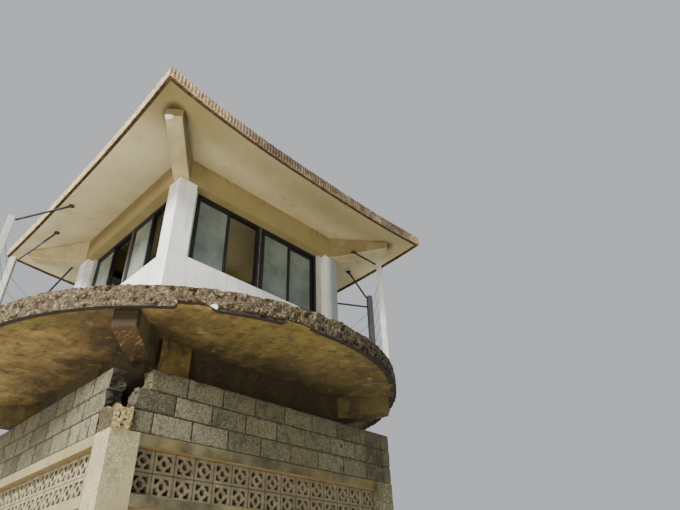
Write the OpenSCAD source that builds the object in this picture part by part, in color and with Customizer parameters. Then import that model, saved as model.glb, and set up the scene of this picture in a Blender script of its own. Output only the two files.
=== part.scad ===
/* [Base] */
// Outside width of the square base
base_w = 3600; // [3500:10:3650]
// Width of a corner column of the base
column_w = 270; // [240:10:300]
// Height of the lower walls, up to the sill beams
lower_h = 2366; // [2200:2:2600]
// Thickness of the lower walls
lower_wall_t = 150; // [120:10:180]
// Height of a sill beam under a vent screen
sill_beam_h = 96; // [80:1:130]
// Height of a lintel over a vent screen
lintel_h = 99; // [80:1:130]
// Depth of the sill beams and lintels, front to back
band_t = 230; // [200:10:240]
// How far screens and lower walls lie behind the face
recess = 80; // [60:5:100]

/* [Vent screens] */
// Vent blocks in one row
vent_cols = 15; // [13:1:17]
// Rows of vent blocks
vent_rows = 2; // [2:1:3]
// Height of one vent block with its joint
vent_row_h = 189; // [180:1:200]
// Thickness of a vent block
vent_t = 90; // [70:5:110]
// Outer radius of the ring in a vent block
vent_ring_r = 50; // [44:1:56]
// Radius of the round hole in the ring
vent_hole_r = 28; // [22:1:34]
// Width of the border on each side of a vent block
vent_border_w = 28; // [22:1:32]
// Width of the struts that join the ring to the border
vent_strut_w = 30; // [24:2:36]

/* [Block walls] */
// Height of one course of blocks
course_h = 192; // [180:1:200]
// Courses of blocks above the lintels
courses = 3; // [3:1:3]
// Thickness of the block walls
block_t = 150; // [140:5:160]
// Missing length at the broken corner, front wall
broken_front_w = 145; // [100:5:200]
// Missing length at the broken corner, left wall
broken_left_w = 240; // [200:5:300]
// How much further the third course of the front wall is broken
tooth_w = 115; // [60:5:140]
// How far each course of the left wall reaches past the one below
lean_w = 38; // [20:1:50]
// Height of the rough fill in the broken corner
rubble_h = 175; // [120:5:185]
// How far that fill lies behind the left face
rubble_set_w = 15; // [5:1:30]

/* [Frame under the slab] */
// Width of the inner columns
core_w = 310; // [260:10:340]
// How far the inner columns stand behind the base's face
core_set_w = 350; // [300:10:400]
// Height of the tie beams between the inner columns
tie_h = 470; // [400:10:520]
// Depth of a tie beam, front to back
tie_t = 230; // [180:10:250]
// Height of the ledge from the tie beams out to the blocks
ledge_h = 100; // [80:5:140]
// Width of a corner bracket
bracket_w = 230; // [200:10:260]
// Length of a bracket from the inner column's corner to its end
bracket_l = 565; // [500:5:620]
// Length of the bracket's level part
bracket_level_l = 70; // [20:10:150]
// Height of a bracket at its root
bracket_root_h = 275; // [250:5:320]
// Height of a bracket at its outer end
bracket_end_h = 190; // [150:5:220]
// Distance from the bracket's end to the lip of the slab
bracket_set_w = 20; // [10:5:60]
// Thickness of the pale facing on the tie beams
facing_t = 40; // [20:5:50]
// From the base's corner to the facing on the front beam
facing_front_l = 485; // [480:5:520]
// Width of the facing on the front beam
facing_front_w = 345; // [250:5:450]
// From the base's corner to the facing on the left beam
facing_left_l = 1300; // [1200:10:1400]
// Width of the facing on the left beam
facing_left_w = 1030; // [800:10:1200]

/* [Balcony slab] */
// How far the slab lies to the left of the base's middle
slab_off_w = 45; // [0:5:50]
// Thickness of the slab above its soffit
slab_t = 193; // [170:1:230]
// Width of the lip under the slab's edge
lip_w = 80; // [60:5:120]
// Depth of that lip
lip_h = 35; // [20:1:45]

/* [Cabin] */
// Outside width of the square cabin
cabin_w = 2770; // [2600:10:2850]
// Width of a corner post
post_w = 248; // [220:2:270]
// Height of the dado walls, up to the window sills
sill_h = 945; // [850:1:1050]
// Thickness of the dado walls
dado_t = 200; // [200:5:220]
// Height of the window openings
window_h = 1093; // [950:1:1200]
// Height of the ring beam over the windows
beam_h = 367; // [320:1:420]
// Width of the strips beside the windows
jamb_w = 67; // [50:1:90]
// How far the strips lie behind the post's face
jamb_set_w = 90; // [60:5:100]

/* [Windows] */
// How far the frames lie behind the cabin's face
frame_set_w = 130; // [110:1:130]
// Depth of a window frame
frame_t = 70; // [69:1:70]
// Width of a frame member
frame_w = 42; // [34:1:50]
// Width of a sash stile or rail
sash_w = 38; // [30:1:44]
// Thickness of a sash
sash_t = 30; // [26:1:30]
// Lap of one sash over the other
sash_lap = 38; // [30:1:60]
// Thickness of a pane
pane_t = 5; // [4:0.5:6]
// Running gap round a sash
sash_gap = 2; // [1:0.5:3]
// Gap under a sash that rests in its frame
sash_seat = 0.3; // [0.2:0.1:0.5]

/* [Roof] */
// Overhang of the roof past the cabin's left face
over_left_l = 810; // [780:2:860]
// Overhang of the roof past the cabin's front face
over_front_l = 965; // [930:5:1000]
// Overhang of the roof past the cabin's right face
over_right_l = 924; // [900:2:970]
// Overhang of the roof past the cabin's rear face
over_rear_l = 962; // [930:2:1000]
// Thickness of the roof slab at its edge
roof_t = 157; // [130:1:180]
// Fall of the soffit to the middle of an edge
roof_drop_h = 215; // [150:1:260]
// Rise of the corners above the middle of an edge
roof_lift_h = 105; // [80:1:160]
// How much higher the near corner turns up
near_lift_h = 91; // [40:1:120]
// How late the edge turns up towards a corner
roof_curve = 2.6; // [2:0.1:4]
// Rise of the top from the wall line to its peak
roof_peak_h = 270; // [200:10:400]
// Width of a hip beam
hip_w = 200; // [180:5:240]
// Length of a hip beam from the cabin's corner, in plan
hip_l = 800; // [720:10:860]
// Height of a hip beam at its outer end
hip_end_h = 130; // [90:5:150]

/* [Fence] */
// Number of fence posts round the back of the slab
fence_n = 11; // [9:1:13]
// Angle of the first post, counted from the right side
fence_start = -52; // [-56:1:-50]
// Angle over which the posts are spread
fence_span = 222; // [210:1:230]
// Width of a fence post
fence_post_w = 80; // [60:2:100]
// Height of a fence post
fence_h = 1770; // [1500:10:1850]
// Distance from a post's centre to the slab's edge
fence_set_w = 95; // [80:5:110]
// Number of wires
wire_n = 7; // [5:1:8]
// Distance from one wire to the next
wire_pitch_h = 215; // [180:5:240]
// Radius of a wire
wire_r = 3; // [2:0.5:4]
// Radius of a brace rod
rod_r = 14; // [10:1:16]
// How far a brace rod runs in towards the cabin
rod_run_l = 395; // [370:5:430]
// From the cabin's corner to the first rod's end on the hip beam
first_rod_l = 270; // [240:5:300]
// How far the second rod runs in
second_rod_run_l = 280; // [250:5:310]
// Turn of the second rod away from the slab's middle
second_rod_turn = 20; // [10:1:25]
// How far the last rod runs in
last_rod_run_l = 570; // [540:5:600]
// Which post is tied to the cabin, counted from the first
tied_post = 1; // [1:1:2]
// How far under the post's top that tie bar starts
tie_bar_drop_h = 200; // [150:10:300]
// How far the tie bar falls on its way to the cabin
tie_bar_fall_h = 230; // [100:10:300]

/* [Hidden] */

base_h2 = base_w / 2;
bay_w = base_w - 2 * column_w;
vent_w = bay_w / vent_cols;
z_sill_beam = lower_h;
z_vents = z_sill_beam + sill_beam_h;
z_lintel = z_vents + vent_rows * vent_row_h;
z_blocks = z_lintel + lintel_h;
z_tie = z_blocks + courses * course_h;
z_soffit = z_tie + tie_h;
z_deck = z_soffit + slab_t;
core_out = base_h2 - core_set_w;
core_in = core_out - core_w;
ledge_out = base_h2 - block_t;
slab_r = core_out * sqrt(2) + bracket_l + bracket_set_w + lip_w;
slab_x = -slab_off_w;
cab = cabin_w / 2;
z_sill = z_deck + sill_h;
z_head = z_sill + window_h;
z_eave = z_head + beam_h;
open_w = cabin_w - 2 * post_w - 2 * jamb_w;
unit_w = open_w / 2;
fence_r = slab_r - fence_set_w;
fence_step = fence_span / (fence_n - 1);
jamb_t = frame_set_w + frame_t - jamb_set_w;
rod_gap = 0.3;
big = 20000;

// Turns a piece drawn for the front side to side number k
module side(k) {
    rotate([0, 0, 90 * k]) children();
}

// A prism drawn in X and Z, pushed along +Y from y
module wall_prism(y, t) {
    translate([0, y + t, 0]) rotate([90, 0, 0]) linear_extrude(t) children();
}

module base_columns() {
    color("#b5b0a2") {
        for (k = [1, 2, 3]) side(k) translate([-base_h2, -base_h2, 0])
            cube([column_w, column_w, z_blocks]);
        // The near column is broken off above the lintels
        translate([-base_h2, -base_h2, 0]) union() {
            cube([column_w, column_w, z_blocks]);
            rubble();
        }
    }
}

// Rough fill with a ragged top, where two broken profiles cross
module rubble() {
    w = broken_front_w;
    l = broken_left_w;
    h = rubble_h;
    translate([0, 0, z_blocks]) intersection() {
        translate([0, l, 0]) rotate([90, 0, 0]) linear_extrude(l)
            polygon([[rubble_set_w, -1], [w, -1], [w, h * 0.86], [w * 0.83, h * 0.95],
                [w * 0.7, h * 0.8], [w * 0.55, h * 0.9], [w * 0.36, h],
                [rubble_set_w, h * 0.9]]);
        rotate([90, 0, 90]) linear_extrude(w)
            polygon([[0, -1], [l, -1], [l, h * 0.75], [l * 0.8, h * 0.95], [l * 0.6, h * 0.85],
                [l * 0.4, h], [l * 0.15, h * 0.95], [0, h * 0.85]]);
    }
}

module lower_wall() {
    color("#9c998c") translate([-bay_w / 2, -base_h2 + recess, 0])
        cube([bay_w, lower_wall_t, lower_h]);
}

module sill_beams() {
    color("#b7b19c") for (k = [0 : 3]) side(k)
        translate([-bay_w / 2, -base_h2, z_sill_beam]) cube([bay_w, band_t, sill_beam_h]);
}

module lintels() {
    color("#c3b894") for (k = [0 : 3]) side(k)
        translate([-bay_w / 2, -base_h2, z_lintel]) cube([bay_w, band_t, lintel_h]);
}

// The holes of one vent block, centred on it: one in the ring, four round it
module vent_holes() {
    half = vent_strut_w / 2;
    a = vent_w / 2 - vent_border_w - half;
    b = vent_row_h / 2 - vent_border_w - half;
    circle(r = vent_hole_r, $fn = 24);
    for (mx = [0, 1], mz = [0, 1]) mirror([mx, 0]) mirror([0, mz]) difference() {
        translate([half, half]) square([a, b]);
        circle(r = vent_ring_r, $fn = 32);
    }
}

module vent_screen() {
    color("#a9a493") wall_prism(-base_h2 + recess, vent_t) difference() {
        translate([-bay_w / 2, z_vents]) square([bay_w, vent_rows * vent_row_h]);
        for (i = [0 : vent_cols - 1], j = [0 : vent_rows - 1])
            translate([-bay_w / 2 + (i + 0.5) * vent_w, z_vents + (j + 0.5) * vent_row_h])
                vent_holes();
    }
}

// Block wall from x0 to x1 on the front side, its last course broken further
module block_wall(x0, x1, tooth) {
    top = z_tie - course_h;
    color("#8d8d80") wall_prism(-base_h2, block_t) polygon([[x0, z_blocks], [x1, z_blocks],
        [x1, z_tie], [x0 + tooth, z_tie], [x0 + tooth, top], [x0, top]]);
}

module block_wall_front() {
    block_wall(-base_h2 + broken_front_w, base_h2 - block_t, tooth_w);
}
module block_wall_right() {
    side(1) block_wall_plain(-base_h2, base_h2 - block_t);
}
module block_wall_rear() {
    side(2) block_wall_plain(-base_h2, base_h2 - block_t);
}
module block_wall_left() {
    side(3) block_wall_left_run();
}
module block_wall_plain(x0, x1) {
    color("#8d8d80") translate([x0, -base_h2, z_blocks])
        cube([x1 - x0, block_t, z_tie - z_blocks]);
}
module block_wall_left_run() {
    x = base_h2 - broken_left_w;
    z1 = z_blocks + course_h;
    z2 = z_tie - course_h;
    color("#8d8d80") wall_prism(-base_h2, block_t) polygon([[-base_h2, z_blocks],
        [x, z_blocks], [x, z1], [x + lean_w, z1], [x + lean_w, z2], [x + 2 * lean_w, z2],
        [x + 2 * lean_w, z_tie], [-base_h2, z_tie]]);
}

// Pale facing left on the tie beams next to the broken corner
module beam_facings() {
    color("#a5a05e") {
        translate([-base_h2 + facing_front_l, -core_out - facing_t, z_tie])
            cube([facing_front_w, facing_t, tie_h]);
        translate([-core_out - facing_t, -base_h2 + facing_left_l, z_tie])
            cube([facing_t, facing_left_w, tie_h]);
    }
}

module inner_columns() {
    color("#4b463c") for (k = [0 : 3]) side(k)
        translate([-core_out, -core_out, 0]) cube([core_w, core_w, z_soffit]);
}

// One ring: a beam on each side and a ledge out to the blocks, open at the broken corner
module tie_beams() {
    color("#4f4a33") union() {
        for (k = [0 : 3]) side(k) translate([-core_in, -core_out, z_tie - ledge_h])
            cube([2 * core_in, tie_t, tie_h + ledge_h]);
        difference() {
            translate([-ledge_out, -ledge_out, z_tie - ledge_h])
                cube([2 * ledge_out, 2 * ledge_out, ledge_h]);
            translate([-core_out, -core_out, 0]) cube([2 * core_out, 2 * core_out, big]);
            translate([-ledge_out - 1, -ledge_out - 1, 0])
                cube([ledge_out + 1 - core_in, ledge_out + 1 - core_in, big]);
        }
    }
}

// The brackets meet under the slab's own middle
module corner_brackets() {
    root = core_out * sqrt(2) - bracket_w;
    level = core_out * sqrt(2) + bracket_level_l;
    end = core_out * sqrt(2) + bracket_l;
    color("#6b6a3c") difference() {
        translate([slab_x, 0, 0]) for (k = [0 : 3]) side(k) rotate([0, 0, -45])
            translate([-bracket_w / 2, 0, 0]) rotate([90, 0, 90]) linear_extrude(bracket_w)
                polygon([[-root, z_soffit], [-root, z_soffit - bracket_root_h],
                    [-level, z_soffit - bracket_root_h], [-end, z_soffit - bracket_end_h],
                    [-end, z_soffit]]);
        for (k = [0 : 3]) side(k) translate([-core_out, -core_out, 0])
            cube([core_w, core_w, big]);
    }
}

module balcony_slab() {
    color("#a39678") translate([slab_x, 0, 0]) rotate_extrude($fn = 120) polygon([[0, z_soffit],
        [slab_r - lip_w, z_soffit], [slab_r - lip_w + lip_h / 2, z_soffit - lip_h],
        [slab_r, z_soffit - lip_h], [slab_r, z_deck], [0, z_deck]]);
}

module dado_wall() {
    color("#dcdcd8") translate([-cab + post_w, -cab, z_deck])
        cube([cabin_w - 2 * post_w, dado_t, sill_h]);
}

module cabin_posts() {
    color("#e1e1de") for (k = [0 : 3]) side(k)
        translate([-cab, -cab, z_deck]) cube([post_w, post_w, z_head - z_deck]);
}

module jamb_strips() {
    color("#9fa69b") for (k = [0 : 3], s = [-1, 1]) side(k)
        translate([s * (cab - post_w - jamb_w / 2) - jamb_w / 2, -cab + jamb_set_w, z_sill])
            cube([jamb_w, jamb_t, window_h]);
}

module ring_beam() {
    color("#b0a674") difference() {
        translate([-cab, -cab, z_head]) cube([cabin_w, cabin_w, beam_h]);
        translate([-cab + post_w, -cab + post_w, z_head - 1])
            cube([cabin_w - 2 * post_w, cabin_w - 2 * post_w, beam_h + 2]);
    }
}

// Two frames side by side on the front side
module window_frames() {
    color("#1c1b1d") for (s = [0, 1])
        wall_prism(-cab + frame_set_w, frame_t) translate([-unit_w + s * unit_w, z_sill])
            difference() {
                square([unit_w, window_h]);
                translate([frame_w, frame_w])
                    square([unit_w - 2 * frame_w, window_h - 2 * frame_w]);
            }
}

sash_lw = (unit_w - 2 * frame_w + sash_lap) / 2 - sash_gap;
sash_lh = window_h - 2 * frame_w - sash_seat - sash_gap;
track0 = -cab + frame_set_w + sash_gap;
track1 = track0 + sash_t + sash_gap;
z_sash = z_sill + frame_w + sash_seat;

// Left edge of a sash: unit 0 or 1, place 0 (left) or 1 (right)
function sash_x(unit, place) = -unit_w + unit * unit_w + frame_w
    + (place == 0 ? sash_gap : unit_w - 2 * frame_w - sash_lw - sash_gap);

// Each entry is [unit, place, track]
module sash_set(list) {
    color("#222124") for (e = list) wall_prism(e[2] == 0 ? track0 : track1, sash_t)
        translate([sash_x(e[0], e[1]), z_sash]) difference() {
            square([sash_lw, sash_lh]);
            translate([sash_w, sash_w]) square([sash_lw - 2 * sash_w, sash_lh - 2 * sash_w]);
        }
}

module pane_set(list) {
    color("#7d8f86") for (e = list)
        translate([sash_x(e[0], e[1]) + sash_w,
            (e[2] == 0 ? track0 : track1) + (sash_t - pane_t) / 2, z_sash + sash_w])
            cube([sash_lw - 2 * sash_w, pane_t, sash_lh - 2 * sash_w]);
}

closed = [[0, 0, 0], [0, 1, 1], [1, 0, 0], [1, 1, 1]];
// The second sash of the left unit stands slid back behind the first
front_list = [[0, 0, 0], [0, 0, 1], [1, 0, 0], [1, 1, 1]];
left_list = [[0, 0, 0], [0, 0, 1], [1, 0, 0], [1, 0, 1]];

// Soffit height at step k (0 over the wall, 1 at the edge), place s (-1 to 1), near corner c
function soffit_z(k, s, c) = z_eave - roof_drop_h * k
    + (roof_lift_h + (c == 0 ? near_lift_h : 0)) * pow(abs(s), roof_curve) * k * k;

roof_nu = 5;
roof_ns = 12;
roof_m = 4 * roof_ns;
// Left, front, right and rear line of the roof at step k
function ring_box(k) = [-cab - k * over_left_l, -cab - k * over_front_l,
    cab + k * over_right_l, cab + k * over_rear_l];
// Soffit point j on the ring at step k
function ring_pt(k, j) = let (b = ring_box(k), q = floor(j / roof_ns) % 4,
    t = (j % roof_ns) / roof_ns, x = (b[2] - b[0]) * t, y = (b[3] - b[1]) * t,
    z = soffit_z(k, 2 * t - 1, t < 0.5 ? q : (q + 1) % 4))
    q == 0 ? [b[0] + x, b[1], z] : q == 1 ? [b[2], b[1] + y, z]
    : q == 2 ? [b[2] - x, b[3], z] : [b[0], b[3] - y, z];
function ring_pts(i, up) = [for (j = [0 : roof_m - 1]) ring_pt(i / roof_nu, j) + [0, 0, up]];

module roof_solid() {
    n = roof_m;
    pts = concat([for (i = [0 : roof_nu]) each ring_pts(i, 0)],
        [for (i = [roof_nu : -1 : 0]) each ring_pts(i, roof_t)],
        [[0, 0, z_eave + roof_t + roof_peak_h], [0, 0, z_eave]]);
    last = 2 * roof_nu + 1;
    apex = n * (last + 1);
    faces = concat([for (j = [0 : n - 1]) [j, (j + 1) % n, apex + 1]],
        [for (i = [0 : last - 1], j = [0 : n - 1]) each
            [[i * n + j, (i + 1) * n + j, (i + 1) * n + (j + 1) % n],
             [i * n + j, (i + 1) * n + (j + 1) % n, i * n + (j + 1) % n]]],
        [for (j = [0 : n - 1]) [last * n + j, apex, last * n + (j + 1) % n]]);
    polyhedron(pts, faces);
}

module roof_slab() {
    color("#b8aa84") roof_solid();
}

// Height of the soffit over the end of a hip beam
function hip_end_z(over, c) = soffit_z(hip_l / norm(over), 1, c);

// Each hip beam runs from a corner of the cabin towards the roof's corner
module hip_beam(sx, sy, over, c) {
    z_end = hip_end_z(over, c);
    translate([sx * cab, sy * cab, 0]) rotate([0, 0, atan2(sy * over[1], sx * over[0])])
        translate([0, hip_w / 2, 0]) rotate([90, 0, 0]) linear_extrude(hip_w)
            polygon([[-hip_w, z_eave + roof_t / 2], [-hip_w, z_head], [1, z_head],
                [hip_l, z_end - hip_end_h], [hip_l, z_end + roof_t / 2]]);
}

module hip_beams() {
    color("#b3a984") difference() {
        union() {
            hip_beam(-1, -1, [over_left_l, over_front_l], 0);
            hip_beam(1, -1, [over_right_l, over_front_l], 1);
            hip_beam(1, 1, [over_right_l, over_rear_l], 2);
            hip_beam(-1, 1, [over_left_l, over_rear_l], 3);
        }
        translate([-cab, -cab, z_head - 1]) cube([cabin_w, cabin_w, big]);
        roof_solid();
    }
}

module fence_posts() {
    color("#c9c9c6") translate([slab_x, 0, 0]) for (i = [0 : fence_n - 1])
        rotate([0, 0, fence_start + i * fence_step])
            translate([fence_r - fence_post_w / 2, -fence_post_w / 2, z_deck])
                cube([fence_post_w, fence_post_w, fence_h]);
}

// A straight rod from p to q
module rod(p, q, r, n) {
    d = q - p;
    l = norm(d);
    translate(p) rotate([0, acos(d[2] / l), atan2(d[1], d[0])])
        cylinder(r = r, h = l, $fn = n);
}

// Height over p of the plane through three points
function plane_z(a, b, c, p) = let (n = cross(b - a, c - a))
    a[2] - (n[0] * (p[0] - a[0]) + n[1] * (p[1] - a[1])) / n[2];
// Height of the faceted soffit on side q at step k and place t (0 to 1)
function facet_z(q, k, t, p) = let (i = min(roof_nu - 1, floor(k * roof_nu)),
    j = q * roof_ns + min(roof_ns - 1, floor(t * roof_ns)),
    a = ring_pt(i / roof_nu, j), b = ring_pt((i + 1) / roof_nu, j),
    c = ring_pt((i + 1) / roof_nu, j + 1), d = ring_pt(i / roof_nu, j + 1),
    turn = (c[0] - a[0]) * (p[1] - a[1]) - (c[1] - a[1]) * (p[0] - a[0]))
    turn < 0 ? plane_z(a, b, c, p) : plane_z(a, c, d, p);
function soffit_at(p) = let (r = [(-p[1] - cab) / over_front_l, (p[0] - cab) / over_right_l,
    (p[1] - cab) / over_rear_l, (-p[0] - cab) / over_left_l], k = max(r), b = ring_box(k),
    q = k == r[0] ? 0 : k == r[1] ? 1 : k == r[2] ? 2 : 3,
    x = (p[0] - b[0]) / (b[2] - b[0]), y = (p[1] - b[1]) / (b[3] - b[1]))
    facet_z(q, k, [x, y, 1 - x, 1 - y][q], p);

// How far the rim of a rod's end stands out towards a face with normal n
function rim(d, n) = rod_r * sqrt(max(0, 1 - pow((d * n) / norm(d), 2)));
// Ends of a rod between faces at p and q, just clear of both
function rod_ends(p, n, q, m) = let (d = q - p, p1 = p + n * rim(d, n), q1 = q + m * rim(d, m),
    e = q1 - p1) [p + n * (rim(e, n) + rod_gap), q + m * (rim(e, m) + rod_gap)];

// Inner face of a fence post, and the way it looks
function post_face(i, z) = let (a = fence_start + i * fence_step,
    r = fence_r - fence_post_w / 2) [slab_x + r * cos(a), r * sin(a), z];
function post_look(i) = let (a = fence_start + i * fence_step) [-cos(a), -sin(a), 0];

// A rod from a post up to the soffit, its upper rim just clear
module soffit_rod(i, run, turn) {
    p = post_face(i, z_deck + fence_h - 2 * rod_r);
    n = post_look(i);
    m = fence_start + i * fence_step + 180 - turn;
    q = p + run * [cos(m), sin(m), 0];
    e = atan2(soffit_at(q) - p[2], run);
    z1 = min([for (t = [0 : 30 : 330]) let (out = rod_r * cos(t) * sin(e),
        lat = rod_r * sin(t), edge = q + [-out * cos(m) - lat * sin(m),
        -out * sin(m) + lat * cos(m), 0]) soffit_at(edge) - rod_r * cos(t) * cos(e)]) - rod_gap;
    end = [q[0], q[1], z1];
    rod(p + n * (rim(end - p, n) + rod_gap), end, rod_r, 16);
}

// The first rod ends on the front side of the right hip beam
module hip_rod() {
    over = [over_right_l, over_front_l];
    h = atan2(over[1], over[0]);
    look = [-sin(h), -cos(h), 0];
    slope = (hip_end_z(over, 1) - hip_end_h - z_head) / hip_l;
    q = [cab, -cab, z_head + 2 * rod_r] + first_rod_l * [cos(h), -sin(h), slope]
        + hip_w / 2 * look;
    e = rod_ends(post_face(0, z_deck + fence_h - 2 * rod_r), post_look(0), q, look);
    rod(e[0], e[1], rod_r, 16);
}

// Bar from one post down to the cabin's right corner post
module tie_bar() {
    p = post_face(tied_post, z_deck + fence_h - tie_bar_drop_h);
    e = rod_ends(p, post_look(tied_post), [cab, p[1], p[2] - tie_bar_fall_h], [1, 0, 0]);
    rod(e[0], e[1], rod_r, 16);
}

module brace_rods() {
    color("#4d5560") {
        hip_rod();
        soffit_rod(1, second_rod_run_l, second_rod_turn);
        for (i = [2 : fence_n - 2]) soffit_rod(i, rod_run_l, 0);
        soffit_rod(fence_n - 1, last_rod_run_l, 0);
        tie_bar();
    }
}

module fence_wires() {
    end = fence_post_w / 2 + wire_r * sin(fence_step / 2) + rod_gap;
    color("#6f7377") translate([slab_x, 0, 0]) for (i = [0 : fence_n - 2], w = [1 : wire_n])
        let (a = fence_start + i * fence_step, b = a + fence_step,
             z = z_deck + w * wire_pitch_h,
             p = [fence_r * cos(a) - end * sin(a), fence_r * sin(a) + end * cos(a), z],
             q = [fence_r * cos(b) + end * sin(b), fence_r * sin(b) - end * cos(b), z])
            rod(p, q, wire_r, 6);
}

base_columns();
lower_wall();  // lower_wall_front
side(1) lower_wall();  // lower_wall_right
side(2) lower_wall();  // lower_wall_rear
side(3) lower_wall();  // lower_wall_left
sill_beams();
vent_screen();  // vent_screen_front
side(1) vent_screen();  // vent_screen_right
side(2) vent_screen();  // vent_screen_rear
side(3) vent_screen();  // vent_screen_left
lintels();
block_wall_front();
block_wall_right();
block_wall_rear();
block_wall_left();
beam_facings();
inner_columns();
tie_beams();
corner_brackets();
balcony_slab();
dado_wall();  // dado_wall_front
side(1) dado_wall();  // dado_wall_right
side(2) dado_wall();  // dado_wall_rear
side(3) dado_wall();  // dado_wall_left
cabin_posts();
jamb_strips();
ring_beam();
window_frames();  // window_frames_front
side(1) window_frames();  // window_frames_right
side(2) window_frames();  // window_frames_rear
side(3) window_frames();  // window_frames_left
sash_set(front_list);  // sashes_front
side(1) sash_set(closed);  // sashes_right
side(2) sash_set(closed);  // sashes_rear
side(3) sash_set(left_list);  // sashes_left
pane_set(front_list);  // panes_front
side(1) pane_set(closed);  // panes_right
side(2) pane_set(closed);  // panes_rear
side(3) pane_set(left_list);  // panes_left
hip_beams();
roof_slab();
fence_posts();
brace_rods();
fence_wires();
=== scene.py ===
"""Security guard booth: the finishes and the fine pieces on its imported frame."""

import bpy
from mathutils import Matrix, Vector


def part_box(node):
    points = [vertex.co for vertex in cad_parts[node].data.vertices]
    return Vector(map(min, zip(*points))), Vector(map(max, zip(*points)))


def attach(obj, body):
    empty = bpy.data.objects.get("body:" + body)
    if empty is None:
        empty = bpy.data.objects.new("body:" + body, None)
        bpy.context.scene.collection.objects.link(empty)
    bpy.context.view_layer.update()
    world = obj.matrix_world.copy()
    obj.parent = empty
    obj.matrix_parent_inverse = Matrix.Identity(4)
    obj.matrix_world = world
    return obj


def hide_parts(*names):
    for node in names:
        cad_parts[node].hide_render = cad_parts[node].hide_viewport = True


bl_info = {
    "name": "Guard Booth Finishes",
    "version": (1, 0, 0),
    "blender": (4, 5, 0),
    "location": "View3D > Sidebar > Booth",
    "description": "Finishes a concrete guard booth: blocks, slab, roof, windows and fence",
    "category": "Object",
}

import math

import bmesh
import bpy
import numpy as np
from mathutils import Matrix, Vector

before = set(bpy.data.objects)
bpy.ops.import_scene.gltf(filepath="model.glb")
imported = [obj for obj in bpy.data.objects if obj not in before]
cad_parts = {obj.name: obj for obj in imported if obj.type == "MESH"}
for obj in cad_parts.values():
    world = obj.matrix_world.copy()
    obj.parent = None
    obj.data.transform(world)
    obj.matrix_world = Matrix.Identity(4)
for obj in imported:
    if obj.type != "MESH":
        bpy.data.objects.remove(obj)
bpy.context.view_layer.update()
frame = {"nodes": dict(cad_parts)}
NODES = frame["nodes"]

# Places on the frame that the finer pieces follow, in metres
SLAB_LOW, SLAB_HIGH = (np.array(v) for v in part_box("balcony_slab"))
SLAB_X = (SLAB_LOW[0] + SLAB_HIGH[0]) / 2
SLAB_R = (SLAB_HIGH[0] - SLAB_LOW[0]) / 2
Z_DECK = SLAB_HIGH[2]
Z_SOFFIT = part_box("inner_columns")[1][2]
Z_BLOCKS, Z_TIE = (v[2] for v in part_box("block_wall_rear"))
Z_HEAD, Z_EAVE = (v[2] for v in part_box("ring_beam"))
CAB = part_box("cabin_posts")[1][0]
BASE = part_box("base_columns")[1][0]
ROOF_LOW, ROOF_HIGH = (np.array(v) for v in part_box("roof_slab"))
# Left, front, right and rear overhang of the roof
OVER = np.array([-CAB - ROOF_LOW[0], -CAB - ROOF_LOW[1], ROOF_HIGH[0] - CAB, ROOF_HIGH[1] - CAB])
# Each corner of the roof, the near one first: its signs and overhangs in X and Y
CORNERS = ((-1, -1, OVER[0], OVER[1]), (1, -1, OVER[2], OVER[1]),
           (1, 1, OVER[2], OVER[3]), (-1, 1, OVER[0], OVER[3]))
ROOF_T, ROOF_LIFT, NEAR_LIFT, ROOF_CURVE = 0.157, 0.105, 0.091, 2.6
ROOF_DROP = Z_EAVE - ROOF_LOW[2]
HIP_W, HIP_L, HIP_END_H = 0.2, 0.8, 0.130
VENT_COLS, VENT_ROWS = 15, 2

# The block walls: courses, an upright joint in each, where each starts and ends in the walls
# at the broken corner, and the shortest piece of a block
COURSES = 3
JOINT_AT = (-1.440, -1.240, -1.533)
FRONT_ENDS = ((-1.655, 1.65), (-1.655, 1.65), (-1.54, 1.65))
LEFT_ENDS = ((-BASE, 1.56), (-BASE, 1.598), (-BASE, 1.636))
SHORTEST = 0.05
# A bored hole and a slit in the front's blocks: middle and half size
BLOCK_HOLES = (((0.929, -BASE, 3.246), (0.021, 0.03, 0.019)),
               ((0.958, -BASE, 3.003), (0.012, 0.03, 0.05)))
# How far the fill in the broken corner lies behind the left face
FILL_SET = 0.015

# The slab's lip: how high it is broken away at angles from +X, the stretch between the breaks
# that keeps its lip with a dark undercut, and the fresh white break
LIP_W, LIP_H = 0.08, Z_SOFFIT - SLAB_LOW[2]
LIP_BREAKS = (
    (-180, 0), (-125.6, 0), (-125.2, 0.066), (-122, 0.060), (-119.5, 0.052), (-118.4, 0.024),
    (-117.4, 0), (-103.7, 0), (-102.6, 0.045), (-100, 0.052), (-97, 0.03), (-94, 0.012),
    (-70, 0.016), (-50, 0.03), (0, 0.01), (40, 0), (42, 0.05), (60, 0.05), (61, 0), (180, 0))
UNDERCUT = (-117.6, -103.4)
WHITE_BREAK = -118.2


def linear(code):
    """The linear colour of an sRGB hex code."""
    parts = [int(code[i:i + 2], 16) / 255 for i in (1, 3, 5)]
    return tuple(c / 12.92 if c <= 0.04045 else ((c + 0.055) / 1.055) ** 2.4 for c in parts)


def chosen(key):
    """One of the booth's main colours, as the panel has it."""
    return tuple(getattr(bpy.context.scene.booth_colours, key))


def node(tree, kind, inputs=None, **settings):
    """Adds a node, with its settings, and its inputs as values or as links."""
    n = tree.nodes.new(kind)
    for key, value in settings.items():
        setattr(n, key, value)
    for key, value in (inputs or {}).items():
        if isinstance(value, bpy.types.NodeSocket):
            tree.links.new(value, n.inputs[key])
        elif isinstance(value, tuple) and len(value) == 3 and n.inputs[key].type == "RGBA":
            n.inputs[key].default_value = (*value, 1.0)
        else:
            n.inputs[key].default_value = value
    return n


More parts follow.
